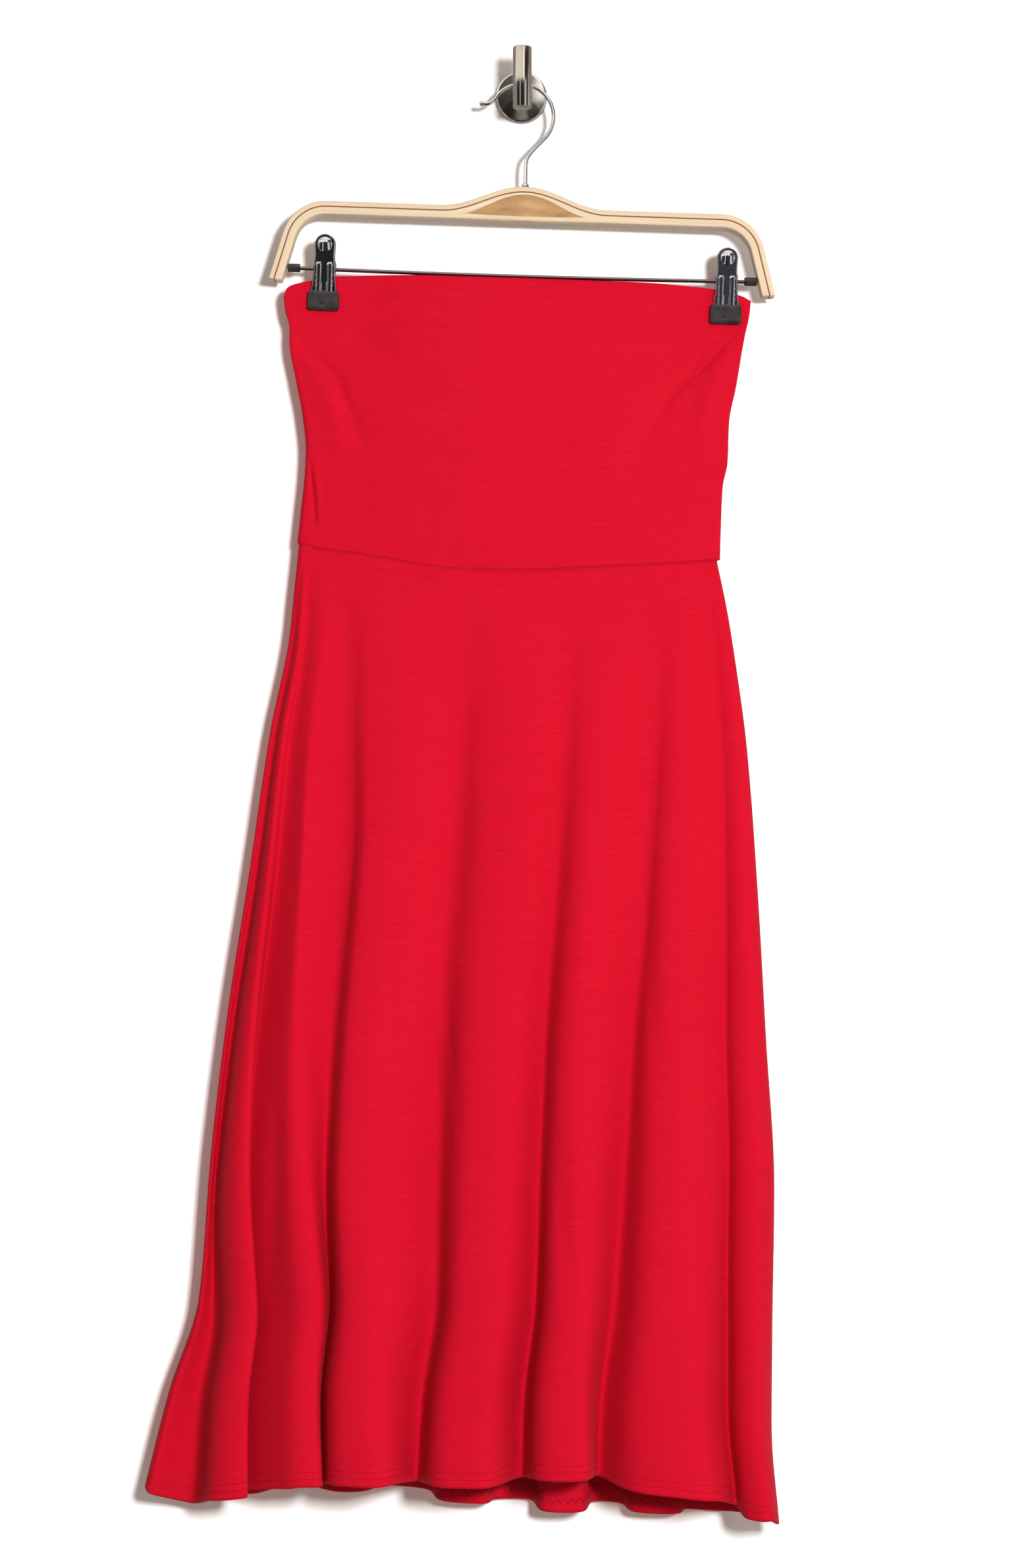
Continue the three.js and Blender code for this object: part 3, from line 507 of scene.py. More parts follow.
def slub_jersey_group():
    """Jersey knitted from an uneven yarn: long faint streaks across, and small knit loops under them."""
    wale = 0.00066               # width and height of one knit loop
    course = 0.00052
    tree = bpy.data.node_groups.new("slub_jersey", "ShaderNodeTree")
    tree.interface.new_socket("Vector", in_out="INPUT", socket_type="NodeSocketVector")
    tree.interface.new_socket("Shade", in_out="OUTPUT", socket_type="NodeSocketFloat")
    tree.interface.new_socket("Height", in_out="OUTPUT", socket_type="NodeSocketFloat")
    cut = tree.nodes.new("NodeGroupInput").outputs["Vector"]
    ends = tree.nodes.new("NodeGroupOutput")

    def streaks(across, along, detail):
        stretched = add_node(tree, "VectorMath", {0: cut, 1: (across, along, 1)}, operation="MULTIPLY")
        sockets = {"Vector": stretched.outputs[0], "Scale": 1.0, "Detail": detail, "Roughness": 0.6}
        return add_node(tree, "TexNoise", sockets, noise_dimensions="2D").outputs["Fac"]

    slub = streaks(11, 620, 3)
    heather = streaks(85, 1500, 2)
    cloudy = streaks(9, 7, 2)
    fine = streaks(900, 1100, 1)
    shade = math_node(tree, "MULTIPLY_ADD", slub, 0.28, math_node(tree, "MULTIPLY", heather, 0.48))
    shade = math_node(tree, "MULTIPLY_ADD", cloudy, 0.14, shade)
    shade = math_node(tree, "MULTIPLY_ADD", fine, 0.10, shade)
    tree.links.new(shade, ends.inputs["Shade"])
    flat = add_node(tree, "SeparateXYZ", {0: cut})
    column = math_node(tree, "FRACT", math_node(tree, "DIVIDE", flat.outputs["X"], wale))
    fold = math_node(tree, "ABSOLUTE", math_node(tree, "SUBTRACT", column, 0.5))
    loops = math_node(tree, "ADD", math_node(tree, "DIVIDE", flat.outputs["Y"], course), fold)
    loop = math_node(tree, "SINE", math_node(tree, "MULTIPLY", loops, 2 * math.pi))
    height = math_node(tree, "MULTIPLY_ADD", loop, 0.25, math_node(tree, "MULTIPLY", heather, 0.6))
    height = math_node(tree, "SUBTRACT", height, math_node(tree, "MULTIPLY", fold, 0.5))
    tree.links.new(height, ends.inputs["Height"])
    return tree


def jersey_material():
    material, tree, cloth = new_material("red_slub_jersey", 0.8, 0.1)
    cut = add_node(tree, "UVMap", uv_map="flat_cut").outputs["UV"]
    knit = add_node(tree, "Group", node_tree=slub_jersey_group())
    tree.links.new(cut, knit.inputs["Vector"])
    color = ramp_node(tree, knit.outputs["Shade"], [
        (0.28, (0.390, 0.0022, 0.0118)), (0.50, (0.443, 0.0036, 0.0162)), (0.72, (0.486, 0.0060, 0.0212)),
    ])
    tree.links.new(color, cloth.inputs["Base Color"])
    bump = add_node(tree, "Bump", {"Strength": 0.26, "Distance": 0.00005, "Height": knit.outputs["Height"]})
    tree.links.new(bump.outputs[0], cloth.inputs["Normal"])
    cloth.inputs["Sheen Weight"].default_value = 0.03
    cloth.inputs["Sheen Roughness"].default_value = 0.4
    cloth.inputs["Sheen Tint"].default_value = (1.0, 0.35, 0.35, 1)
    return material


jersey = jersey_material()
bodice_downs = [i / bodice_rows for i in range(bodice_rows + 1)]


def bodice_flat(across, down):
    return ((across - 0.5) * bodice_width, down * bodice_length)


for side, first in (("front", 0), ("back", 1)):
    panel = cloth_panel(
        f"bodice_{side}_jersey", bodice_columns, bodice_downs, lambda across, first=first: first + across,
        bodice_point, bodice_flat, thick_from=math.inf,
    )
    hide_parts(f"bodice_{side}")


# Skirt: a flared front and back of the same jersey, sewn to the bodice at the waist. It falls in soft
# flutes that grow toward the hem, and the back hangs a little lower than the front. The hem is turned up
# once and held by a twin row of cover stitch.
skirt_length = 0.785
hem_turn = 0.013
fold_start = 0.02            # share of the way down at which the flutes begin
fold_onset = 0.86            # under 1: the flutes deepen faster in their upper part
soft_top = 0.75              # how far the flutes are rounded off, in lines of the ring, at the waist
soft_hem = 0.2               # and at the hem
skirt_waist = 0.353
skirt_sweep = 0.93
skirt_rows = 140
hem_rows = 5
hem_step = 0.0016            # share of the length in which the cloth thickens into the turned hem
stitch_rows = (0.0070, 0.0127)  # heights of the twin rows over the hem
stitch_pitch = 0.0031
stitch_size = (0.00115, 0.00022, 0.00026)
stitch_sunk = 0.00003
looper_size = (0.0031, 0.00022, 0.00030)
looper_proud = 0.0001
looper_slant = math.radians(58)
hem_samples = 1400

skirt_sides = [
    SideRow(0.00, -0.1874, 0.1645),
    SideRow(0.05, -0.1914, 0.1728),
    SideRow(0.10, -0.1955, 0.1793),
    SideRow(0.20, -0.2115, 0.1898),
    SideRow(0.35, -0.2292, 0.1985),
    SideRow(0.50, -0.2475, 0.2050),
    SideRow(0.65, -0.2615, 0.2115),
    SideRow(0.80, -0.2713, 0.2095),
    SideRow(0.90, -0.2965, 0.2087),
    SideRow(1.00, -0.3168, 0.2148),
]

# Lines that run down the skirt front from left to right, ridges and valleys in turn: shares of its width at
# the waist, a third and two thirds down and at the hem, then how far each stands from the wall at the hem,
# and its height there.
FrontFold = namedtuple("FrontFold", "waist third two_thirds hem out hem_z")
front_folds = [
    FrontFold(0.0000, 0.0000, 0.0000, 0.0000, 0.031, -1.1790),
    FrontFold(0.0020, 0.0030, 0.0040, 0.0110, 0.043, -1.1830),
    FrontFold(0.0097, 0.0134, 0.0100, 0.0728, 0.028, -1.1950),
    FrontFold(0.0128, 0.0287, 0.0399, 0.1134, 0.070, -1.1800),
    FrontFold(0.0207, 0.0471, 0.0812, 0.1714, 0.076, -1.1750),
    FrontFold(0.0270, 0.0500, 0.0641, 0.1467, 0.042, -1.1800),
    FrontFold(0.0426, 0.0941, 0.1333, 0.2269, 0.080, -1.1670),
    FrontFold(0.0620, 0.1060, 0.1600, 0.2611, 0.088, -1.1630),
    FrontFold(0.0818, 0.1172, 0.1871, 0.2876, 0.082, -1.1640),
    FrontFold(0.1054, 0.1925, 0.2076, 0.2790, 0.050, -1.1710),
    FrontFold(0.1300, 0.2150, 0.2280, 0.3006, 0.082, -1.1630),
    FrontFold(0.1682, 0.2360, 0.2449, 0.3326, 0.093, -1.1610),
    FrontFold(0.2938, 0.3391, 0.3171, 0.3894, 0.092, -1.1610),
    FrontFold(0.3882, 0.3922, 0.4053, 0.4304, 0.050, -1.1695),
    FrontFold(0.4353, 0.4358, 0.4371, 0.4567, 0.088, -1.1620),
    FrontFold(0.5000, 0.5000, 0.4850, 0.5019, 0.097, -1.1610),
    FrontFold(0.5609, 0.5581, 0.5354, 0.5532, 0.093, -1.1610),
    FrontFold(0.6362, 0.6052, 0.5865, 0.5959, 0.052, -1.1655),
    FrontFold(0.6709, 0.6329, 0.6063, 0.6204, 0.092, -1.1560),
    FrontFold(0.7493, 0.6936, 0.6772, 0.6973, 0.097, -1.1545),
    FrontFold(0.8357, 0.7793, 0.7330, 0.7150, 0.050, -1.1650),
    FrontFold(0.8673, 0.8031, 0.7631, 0.7624, 0.084, -1.1670),
    FrontFold(0.9000, 0.8360, 0.8120, 0.8310, 0.094, -1.1695),
    FrontFold(0.9301, 0.8701, 0.8671, 0.8916, 0.088, -1.1745),
    FrontFold(0.9630, 0.9325, 0.9167, 0.9308, 0.048, -1.1898),
    FrontFold(0.9724, 0.9475, 0.9312, 0.9477, 0.066, -1.1960),
    FrontFold(0.9849, 0.9772, 0.9696, 0.9796, 0.073, -1.1960),
    FrontFold(1.0000, 1.0000, 1.0000, 1.0000, 0.046, -1.2067),
]
# The same for the back, from right to left, each line at one share of the width.
BackFold = namedtuple("BackFold", "share out hem_z")
back_folds = [
    BackFold(0.955, 0.011, -1.2090),
    BackFold(0.906, 0.008, -1.2080),
    BackFold(0.858, 0.010, -1.2060),
    BackFold(0.843, 0.026, -1.2050),
    BackFold(0.775, 0.027, -1.2030),
    BackFold(0.758, 0.009, -1.2015),
    BackFold(0.707, 0.009, -1.2000),
    BackFold(0.692, 0.037, -1.1995),
    BackFold(0.630, 0.037, -1.1990),
    BackFold(0.614, 0.009, -1.1985),
    BackFold(0.552, 0.008, -1.1980),
    BackFold(0.537, 0.027, -1.1960),
    BackFold(0.468, 0.028, -1.1930),
    BackFold(0.450, 0.009, -1.1900),
    BackFold(0.374, 0.008, -1.1865),
    BackFold(0.344, 0.025, -1.1860),
    BackFold(0.299, 0.026, -1.1860),
    BackFold(0.257, 0.009, -1.1870),
    BackFold(0.205, 0.008, -1.1880),
    BackFold(0.171, 0.023, -1.1885),
    BackFold(0.133, 0.021, -1.1890),
    BackFold(0.088, 0.008, -1.1880),
    BackFold(0.035, 0.012, -1.1830),
]

skirt_front_creases = [
    Crease([(-0.1060, -0.7300), (-0.1073, -0.8600), (-0.1060, -0.9900)], 0.0080, 0.0030),
    Crease([(-0.2010, -0.8400), (-0.2036, -0.9300), (-0.2080, -1.0300)], 0.0080, 0.0026),
    Crease([(0.1440, -0.8300), (0.1479, -0.9300), (0.1500, -1.0500)], 0.0080, 0.0026),
    Crease([(0.1455, -0.5200), (0.1468, -0.5900), (0.1490, -0.6700)], 0.0030, 0.0012),
    Crease([(-0.0830, -0.7560), (-0.0740, -0.8000), (-0.0680, -0.8560)], 0.0035, 0.0012),
    Crease([(-0.0620, -0.7700), (-0.0560, -0.8200), (-0.0500, -0.8800)], 0.0040, 0.0012),
    Crease([(-0.0450, -0.5200), (-0.0480, -0.6200), (-0.0520, -0.7100)], 0.0090, 0.0014),
    Crease([(0.0300, -0.8600), (0.0340, -0.9500), (0.0400, -1.0300)], 0.0080, 0.0018),
    Crease([(-0.1560, -0.9300), (-0.1600, -1.0200), (-0.1660, -1.0900)], 0.0060, 0.0015),
    Crease([(0.1030, -0.6400), (0.1090, -0.7500), (0.1130, -0.8500)], 0.0060, 0.0014),
]
skirt_back_creases = [
    Crease([(-0.1900, -0.7800), (-0.2000, -0.9000), (-0.2080, -1.0100)], 0.0080, 0.0030),
    Crease([(-0.0900, -0.6400), (-0.0930, -0.7600), (-0.0980, -0.8800)], 0.0090, 0.0025),
    Crease([(0.0200, -0.8200), (0.0180, -0.9300), (0.0140, -1.0400)], 0.0080, 0.0028),
    Crease([(0.0900, -0.5600), (0.0950, -0.6700), (0.0990, -0.7700)], 0.0070, 0.0018),
    Crease([(0.1500, -0.8600), (0.1540, -0.9600), (0.1560, -1.0600)], 0.0080, 0.0022),
    Crease([(-0.0300, -0.5000), (-0.0340, -0.5900), (-0.0400, -0.6800)], 0.0080, 0.0016),
]

RingLine = namedtuple("RingLine", "share_at out hem_z")
PathRow = namedtuple("PathRow", "down share")
ring = []
for fold in front_folds:
    path = [PathRow(i / 3, share) for i, share in enumerate(fold[:4])]
    ring.append(RingLine(curve_through(path, "down", "share"), fold.out, fold.hem_z))
for fold in back_folds:
    ring.append(RingLine(lambda down, share=fold.share: share, fold.out, fold.hem_z))
front_end = len(front_folds) - 1
skirt_left = curve_through(skirt_sides, "down", "left")
skirt_right = curve_through(skirt_sides, "down", "right")
ring_outs = [line.out for line in ring]
ring_hems = [line.hem_z for line in ring]
ring_rows = {}


def ring_row(down):
    """The sides of the skirt and where each line of the ring lies, at a share of the way down."""
    if down not in ring_rows:
        left, right = skirt_left(down), skirt_right(down)
        ring_rows[down] = (left, right, [lerp(left, right, line.share_at(down)) for line in ring])
    return ring_rows[down]


def read_ring(values, at, slope):
    i = math.floor(at)
    a, b, c, d = (values[(i + k) % len(values)] for k in (-1, 0, 1, 2))
    return hermite(b, c, slope(b - a, c - b), slope(c - b, d - c), at - i)


def soft_ring(values, at, slope, reach):
    """The same, rounded off over its neighbours to each side."""
    ends = read_ring(values, at - reach, slope) + read_ring(values, at + reach, slope)
    return (ends + 2 * read_ring(values, at, slope)) / 4


def skirt_point(place, down):
    """A point of the skirt's ring, counted in lines: the front ones, then the back ones."""
    at = place % len(ring)
    front = at <= front_end
    left, right, xs = ring_row(down)
    from_side = min(at, abs(front_end - at), len(ring) - at)
    reach = lerp(soft_top, soft_hem, down) * ease(from_side / 2)
    x = soft_ring(xs, at, steady_slope, reach)
    seam_x = soft_ring(ring_row(0)[2], at, steady_slope, reach)
    half = tube_half(x, left, right, waist_round, front_belly if front else back_belly)
    folded = max(0.0, (down - fold_start) / (1 - fold_start)) ** fold_onset
    out = lerp(hang_out + (half if front else -half), soft_ring(ring_outs, at, average_slope, reach), folded)
    seam_z = waist_height(seam_x, front)
    z = lerp(seam_z, read_ring(ring_hems, at, steady_slope), down)
    drop = crease_drop(skirt_front_creases if front else skirt_back_creases, x, z)
    drop += ease(min(x - left, right - x) / crease_inset) * seam_groove(z - seam_z)
    return Vector((x, -(out - drop if front else out + drop), z))


def skirt_flat(across, down):
    return ((across - 0.5) * lerp(skirt_waist, skirt_sweep, down), down * skirt_length)


hem_from = 1 - hem_turn / skirt_length
skirt_downs = [i / skirt_rows * (hem_from - hem_step) for i in range(skirt_rows + 1)]
skirt_downs += [lerp(hem_from, 1, i / hem_rows) for i in range(hem_rows + 1)]


def outer_frame(place, down):
    """A point of the skirt's outer face, with the way along the hem, out of the cloth and up it."""
    point = skirt_point(place, down)
    along = (skirt_point(place + 0.02, down) - skirt_point(place - 0.02, down)).normalized()
    up = (skirt_point(place, down - 0.004) - point).normalized()
    outward = along.cross(up).normalized()
    return point, along, outward, up


def add_stitch(bm, centre, axes, turn, size):
    """A short stitch of thread, long along the first of its axes."""
    place = Matrix.Translation(centre) @ Matrix(axes).transposed().to_4x4()
    matrix = place @ turn @ Matrix.Diagonal((*size, 1))
    bmesh.ops.create_icosphere(bm, subdivisions=1, radius=1, matrix=matrix)


def hem_stitches(name, first, last):
    """The twin rows of cover stitch that hold the turned hem, and the zigzag of looper thread inside it."""
    low_row, high_row = stitch_rows
    spots, travelled = [], 0.0
    before = skirt_point(first, 1 - low_row / skirt_length)
    for i in range(1, hem_samples + 1):
        place = lerp(first, last, i / hem_samples)
        now = skirt_point(place, 1 - low_row / skirt_length)
        travelled += (now - before).length
        before = now
        if travelled >= stitch_pitch:
            travelled -= stitch_pitch
            spots.append(place)
    bm = bmesh.new()
    for i, place in enumerate(spots):
        for row in stitch_rows:
            point, along, outward, up = outer_frame(place, 1 - row / skirt_length)
            centre = point + outward * (cloth_half - stitch_sunk)
            add_stitch(bm, centre, (along, outward, up), Matrix.Identity(4), stitch_size)
        point, along, outward, up = outer_frame(place, 1 - (low_row + high_row) / 2 / skirt_length)
        centre = point - outward * (2 * cloth_thickness - cloth_half + looper_proud)
        slant = Matrix.Rotation(looper_slant if i % 2 else -looper_slant, 4, "Y")
        add_stitch(bm, centre, (along, outward, up), slant, looper_size)
    return finished(name, bm, hem_thread)


# Red thread, painted darker than the cloth: the darkening is painted shade of the stitches sunk into it.
hem_thread, tree, thread = new_material("red_hem_thread", 0.7, 0.05)
twist = add_node(tree, "TexNoise", {"Vector": add_node(tree, "TexCoord").outputs["Object"], "Scale": 900.0})
thread_with_painted_shade = ramp_node(
    tree, twist.outputs["Fac"], [(0.3, (0.15, 0.0008, 0.004)), (0.7, (0.26, 0.002, 0.008))],
)
tree.links.new(thread_with_painted_shade, thread.inputs["Base Color"])

for side, first, last, columns in (("front", 0, front_end, 297), ("back", front_end, len(ring), 253)):
    panel = cloth_panel(
        f"skirt_{side}_jersey", columns, skirt_downs,
        lambda across, first=first, last=last: lerp(first, last, across),
        skirt_point, skirt_flat, thick_from=hem_from,
    )
    stitches = hem_stitches(f"hem_stitches_{side}", first, last)
    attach(stitches, "root")
    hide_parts(f"skirt_{side}")


# Hanger bar: two plies of pale wood, glued together and bent to a flat arch with two legs and a hump that
# carries the hook. The glue shows as a dark line in a fine groove, and the hanger hangs a little askew.
hanger_x = 0.0062
hanger_z = 0.0037
hanger_tilt = math.radians(1.94)
bar_width = 0.428
bar_height = 0.0109
bar_depth = 0.015
bar_top = -0.1058
bar_drop = 0.067
bar_bend = 0.0374
leg_splay = math.radians(15.5)
upper_ply = 0.0047
glue_line = 0.00078          # half width of the dark line, soft at its edges
glue_strength = 1.7
glue_brown = (0.17, 0.062, 0.022)
hump_rise = 0.0176
hump_half = 0.070
bar_edge = 0.0013
tip_round = 0.0011
end_draw_in = (0.88, 0.965)  # how far the last two sections of each foot are drawn in
foot_cut = 0.2               # how far the feet are cut towards level, per depth
glue_groove = 0.00030        # depth and half width of the fine groove along the glue line
groove_half = 0.00045
leg_bend_drop = bar_bend * (1 - math.sin(leg_splay))
leg_length = (bar_drop - leg_bend_drop) / math.cos(leg_splay)
bend_x = bar_width / 2 - bar_bend * math.cos(leg_splay) - leg_length * math.sin(leg_splay)
to_world = (
    Matrix.Translation((hanger_x, -hang_out, hanger_z))
    @ Matrix.Rotation(hanger_tilt, 4, "Y")
    @ Matrix.Rotation(math.radians(90), 4, "X")
)


def hump_at(x):
    return hump_rise * math.cos(math.pi * x / (2 * hump_half)) ** 2 if abs(x) < hump_half else 0.0


def even_steps(start, end, count):
    return [lerp(start, end, i / count) for i in range(count + 1)]


def bar_line(depth, humped):
    """A line that follows the bar at a depth under its top edge, from the left foot to the right one."""
    half = [(x, bar_top - depth + (hump_at(x) if humped else 0)) for x in even_steps(0, hump_half, 36)]
    for angle in even_steps(math.pi / 2, leg_splay, 28):
        radius = bar_bend - depth
        half.append((bend_x + radius * math.cos(angle), bar_top - bar_bend + radius * math.sin(angle)))
    x, z = half[-1]
    for up in (tip_round, tip_round / 3, 0):
        along = leg_length - up - foot_cut * depth
        half.append((x + along * math.sin(leg_splay), z - along * math.cos(leg_splay)))
    return [(-x, z) for x, z in reversed(half[1:])] + half


def bar_grain(x, z):
    """Where a point lies along the bent bar, and how deep under its top edge."""
    reach = abs(x)
    if reach <= bend_x:
        return x, bar_top + hump_at(x) - z
    sideways, upward = reach - bend_x, z - (bar_top - bar_bend)
    angle = math.atan2(upward, sideways)
    if angle >= leg_splay:
        along = bend_x + bar_bend * (math.pi / 2 - angle)
        depth = bar_bend - math.hypot(sideways, upward)
    else:
        out_x, out_z = math.cos(leg_splay), math.sin(leg_splay)
        depth = bar_bend - (sideways * out_x + upward * out_z)
        along = bend_x + bar_bend * (math.pi / 2 - leg_splay) + sideways * out_z - upward * out_x
    return math.copysign(along, x), depth


def wood_grain_group():
    """Long fibres, small dark pores and slow bands, along the first axis of the vector."""
    tree = bpy.data.node_groups.new("wood_grain", "ShaderNodeTree")
    tree.interface.new_socket("Vector", in_out="INPUT", socket_type="NodeSocketVector")
    tree.interface.new_socket("Shade", in_out="OUTPUT", socket_type="NodeSocketFloat")
    tree.interface.new_socket("Pores", in_out="OUTPUT", socket_type="NodeSocketFloat")
    grain = tree.nodes.new("NodeGroupInput").outputs["Vector"]
    ends = tree.nodes.new("NodeGroupOutput")

    def noise(scale, detail):
        stretched = add_node(tree, "VectorMath", {0: grain, 1: scale}, operation="MULTIPLY")
        sockets = {"Vector": stretched.outputs[0], "Scale": 1.0, "Detail": detail, "Roughness": 0.55}
        return add_node(tree, "TexNoise", sockets).outputs["Fac"]

    fibres = noise((28, 1500, 900), 3)
    bands = noise((9, 260, 160), 2)
    pores = noise((240, 3000, 1800), 1)
    shade = math_node(tree, "MULTIPLY_ADD", fibres, 0.55, math_node(tree, "MULTIPLY", bands, 0.45))
    tree.links.new(shade, ends.inputs["Shade"])
    tree.links.new(pores, ends.inputs["Pores"])
    return tree


def pale_wood_material():
    """Pale lacquered wood whose grain follows the bend, with the dark glue line between the plies."""
    material, tree, wood = new_material("pale_wood", 0.48, 0.3)
    along_bar = add_node(tree, "Attribute", attribute_name="grain").outputs["Vector"]
    grain = add_node(tree, "Group", node_tree=wood_grain_group())
    tree.links.new(along_bar, grain.inputs["Vector"])
    color = ramp_node(tree, grain.outputs["Shade"], [
        (0.30, (0.48, 0.368, 0.238)), (0.50, (0.555, 0.445, 0.310)), (0.72, (0.615, 0.512, 0.376)),
    ])
    depth = add_node(tree, "SeparateXYZ", {0: along_bar}).outputs["Y"]
    off = math_node(tree, "ABSOLUTE", math_node(tree, "SUBTRACT", depth, upper_ply))
    line = math_node(tree, "SUBTRACT", 1.0, math_node(tree, "MULTIPLY", off, 1 / glue_line))
    line = add_node(tree, "Clamp", {0: math_node(tree, "MULTIPLY", line, glue_strength)}).outputs[0]
    tree.links.new(mix_colors(tree, line, color, (*glue_brown, 1)), wood.inputs["Base Color"])
    bump = add_node(tree, "Bump", {"Strength": 0.25, "Distance": 0.0001, "Height": grain.outputs["Pores"]})
    tree.links.new(bump.outputs[0], wood.inputs["Normal"])
    return material


def bar_section():
    """Once round the bar's section: from its middle plane, and under its top, with a groove in each face."""
    half = bar_depth / 2
    inner = half - bar_edge
    quarter = even_steps(0, math.pi / 2, 4)
    grooved = [
        (half, upper_ply - 2 * groove_half), (half, upper_ply - groove_half), (half - glue_groove, upper_ply),
        (half, upper_ply + groove_half), (half, upper_ply + 2 * groove_half),
    ]
    face = [(inner + bar_edge * math.sin(a), bar_edge * (1 - math.cos(a))) for a in quarter] + grooved
    floor = bar_height - bar_edge
    face += [(inner + bar_edge * math.cos(a), floor + bar_edge * math.sin(a)) for a in quarter]
    section = face + [(-y, depth) for y, depth in reversed(face)]
    return section + section[:1]


def placed(name, bm, matrix, material, sharp_from):
    """Puts a finished mesh in its place, smooth but for edges that turn by more than a number of degrees."""
    bmesh.ops.transform(bm, matrix=matrix, verts=bm.verts)
    piece = finished(name, bm, material)
    piece.data.set_sharp_from_angle(angle=math.radians(sharp_from))
    return piece


def bent_bar():
    """The two glued plies as one bar, its section carried along the bent line, and its feet rounded off."""
    section = bar_section()
    parallel_to = upper_ply + 2 * groove_half
    lower = bar_line(bar_height, False)
    middle = bar_line(parallel_to, True)
    lines = {}
    for y, depth in section:
        if depth <= parallel_to:
            lines[depth] = bar_line(depth, True)
        else:
            share = (depth - parallel_to) / (bar_height - parallel_to)
            lines[depth] = [(lerp(a[0], b[0], share), lerp(a[1], b[1], share)) for a, b in zip(middle, lower)]
    count = len(lower)
    centre_line = [((a[0] + b[0]) / 2, (a[1] + b[1]) / 2) for a, b in zip(bar_line(0, True), lower)]
    drawn_in = {column: share for i, share in enumerate(end_draw_in) for column in (i, count - 1 - i)}
    bm = bmesh.new()
    grain = bm.verts.layers.float_vector.new("grain")
    bmesh.ops.create_grid(bm, x_segments=count - 1, y_segments=len(section) - 1, size=0.5)
    for vert in bm.verts:
        column = round((vert.co.x + 0.5) * (count - 1))
        y, depth = section[round((vert.co.y + 0.5) * (len(section) - 1))]
        x, z = lines[depth][column]
        vert[grain] = (bar_grain(*centre_line[column])[0], depth, y)
        kept = drawn_in.get(column, 1.0)
        mid_x, mid_z = centre_line[column]
        vert.co = (lerp(mid_x, x, kept), lerp(mid_z, z, kept), y * kept)
    bmesh.ops.remove_doubles(bm, verts=bm.verts, dist=1e-6)
    bmesh.ops.holes_fill(bm, edges=[edge for edge in bm.edges if edge.is_boundary], sides=0)
    bmesh.ops.recalc_face_normals(bm, faces=bm.faces)
    return placed("hanger_bar", bm, to_world, pale_wood_material(), 40)


bar = bent_bar()
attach(bar, "root")
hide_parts("hanger_upper_ply", "hanger_lower_ply")


# Core: a lens of darker, softer wood let in between the hump and the straight underside of the bar, its faces
# just proud of the plies.
core_half = 0.052
core_rise = 0.0184
core_floor = 0.0032
core_sag = 0.001
core_proud = 0.0003
core_edge = 0.0001


def core_arch(x):
    return core_rise * math.cos(math.pi * x / (2 * core_half)) ** 1.5


def core_line():
    floor = bar_top - bar_height + core_floor
    lower = [(x, floor + (x / core_half) ** 2 * core_sag) for x in even_steps(-core_half, core_half, 60)]
    upper = [(x, z + core_arch(x)) for x, z in reversed(lower[1:-1])]
    return lower + upper


def solid_of_curve(curve):
    """The mesh of a curve with a bevel, closed at its seams and facing out."""
    drawn = bpy.data.objects.new(curve.name, curve)
    scene.collection.objects.link(drawn)
    bpy.context.view_layer.update()
    mesh = bpy.data.meshes.new_from_object(drawn.evaluated_get(bpy.context.evaluated_depsgraph_get()))
    bpy.data.objects.remove(drawn)
    bm = bmesh.new()
    bm.from_mesh(mesh)
    bpy.data.meshes.remove(mesh)
    bmesh.ops.remove_doubles(bm, verts=bm.verts, dist=1e-6)
    bmesh.ops.recalc_face_normals(bm, faces=bm.faces)
    return bm


def flat_piece(name, outline, depth, edge, matrix, material):
    """A flat plate with softened edges, cut to its outline, then put in its place."""
    curve = bpy.data.curves.new(name + "_outline", "CURVE")
    curve.dimensions = "2D"
    curve.fill_mode = "BOTH"
    curve.extrude = depth / 2 - edge
    curve.bevel_depth = edge
    curve.bevel_resolution = 3
    curve.offset = -edge
    spline = curve.splines.new("POLY")
    spline.points.add(len(outline) - 1)
    for point, (x, z) in zip(spline.points, outline):
        point.co = (x, z, 0, 1)
    spline.use_cyclic_u = True
    return placed(name, solid_of_curve(curve), matrix, material, 40)


def core_wood_material():
    """Softer wood, mottled in slow patches and finely flecked."""
    material, tree, wood = new_material("mottled_core_wood", 0.45, 0.5)
    place = add_node(tree, "TexCoord").outputs["Object"]
    drawn = add_node(tree, "VectorMath", {0: place, 1: (0.35, 1, 1)}, operation="MULTIPLY").outputs[0]
    mottle = add_node(tree, "TexNoise", {"Vector": drawn, "Scale": 85.0, "Detail": 3.0, "Roughness": 0.5})
    fleck = add_node(tree, "TexNoise", {"Vector": drawn, "Scale": 900.0, "Detail": 2.0}).outputs["Fac"]
    flecks = math_node(tree, "MULTIPLY", fleck, 0.15)
    shade = math_node(tree, "MULTIPLY_ADD", mottle.outputs["Fac"], 0.85, flecks)
    color = ramp_node(tree, shade, [
        (0.34, (0.245, 0.125, 0.050)), (0.50, (0.345, 0.195, 0.086)), (0.66, (0.43, 0.262, 0.128)),
    ])
    tree.links.new(color, wood.inputs["Base Color"])
    return material


core = flat_piece(
    "hanger_core_inlay", core_line(), bar_depth + core_proud, core_edge, to_world, core_wood_material(),
)
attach(core, "root")
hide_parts("hanger_hump_core")


# Hook: a bright chromed wire bent to an open loop, its end drawn out to a small ball. It stands in a small
# turned collar on top of the hump.
wire_radius = 0.0016
loop_radius = 0.0272
loop_x = -0.0053
loop_from = math.radians(-47)
loop_to = math.radians(151)
shank = 0.021
shank_foot = bar_top + hump_rise - 0.004
shank_from = shank_foot + 0.0043
elbow_rise = 0.0055


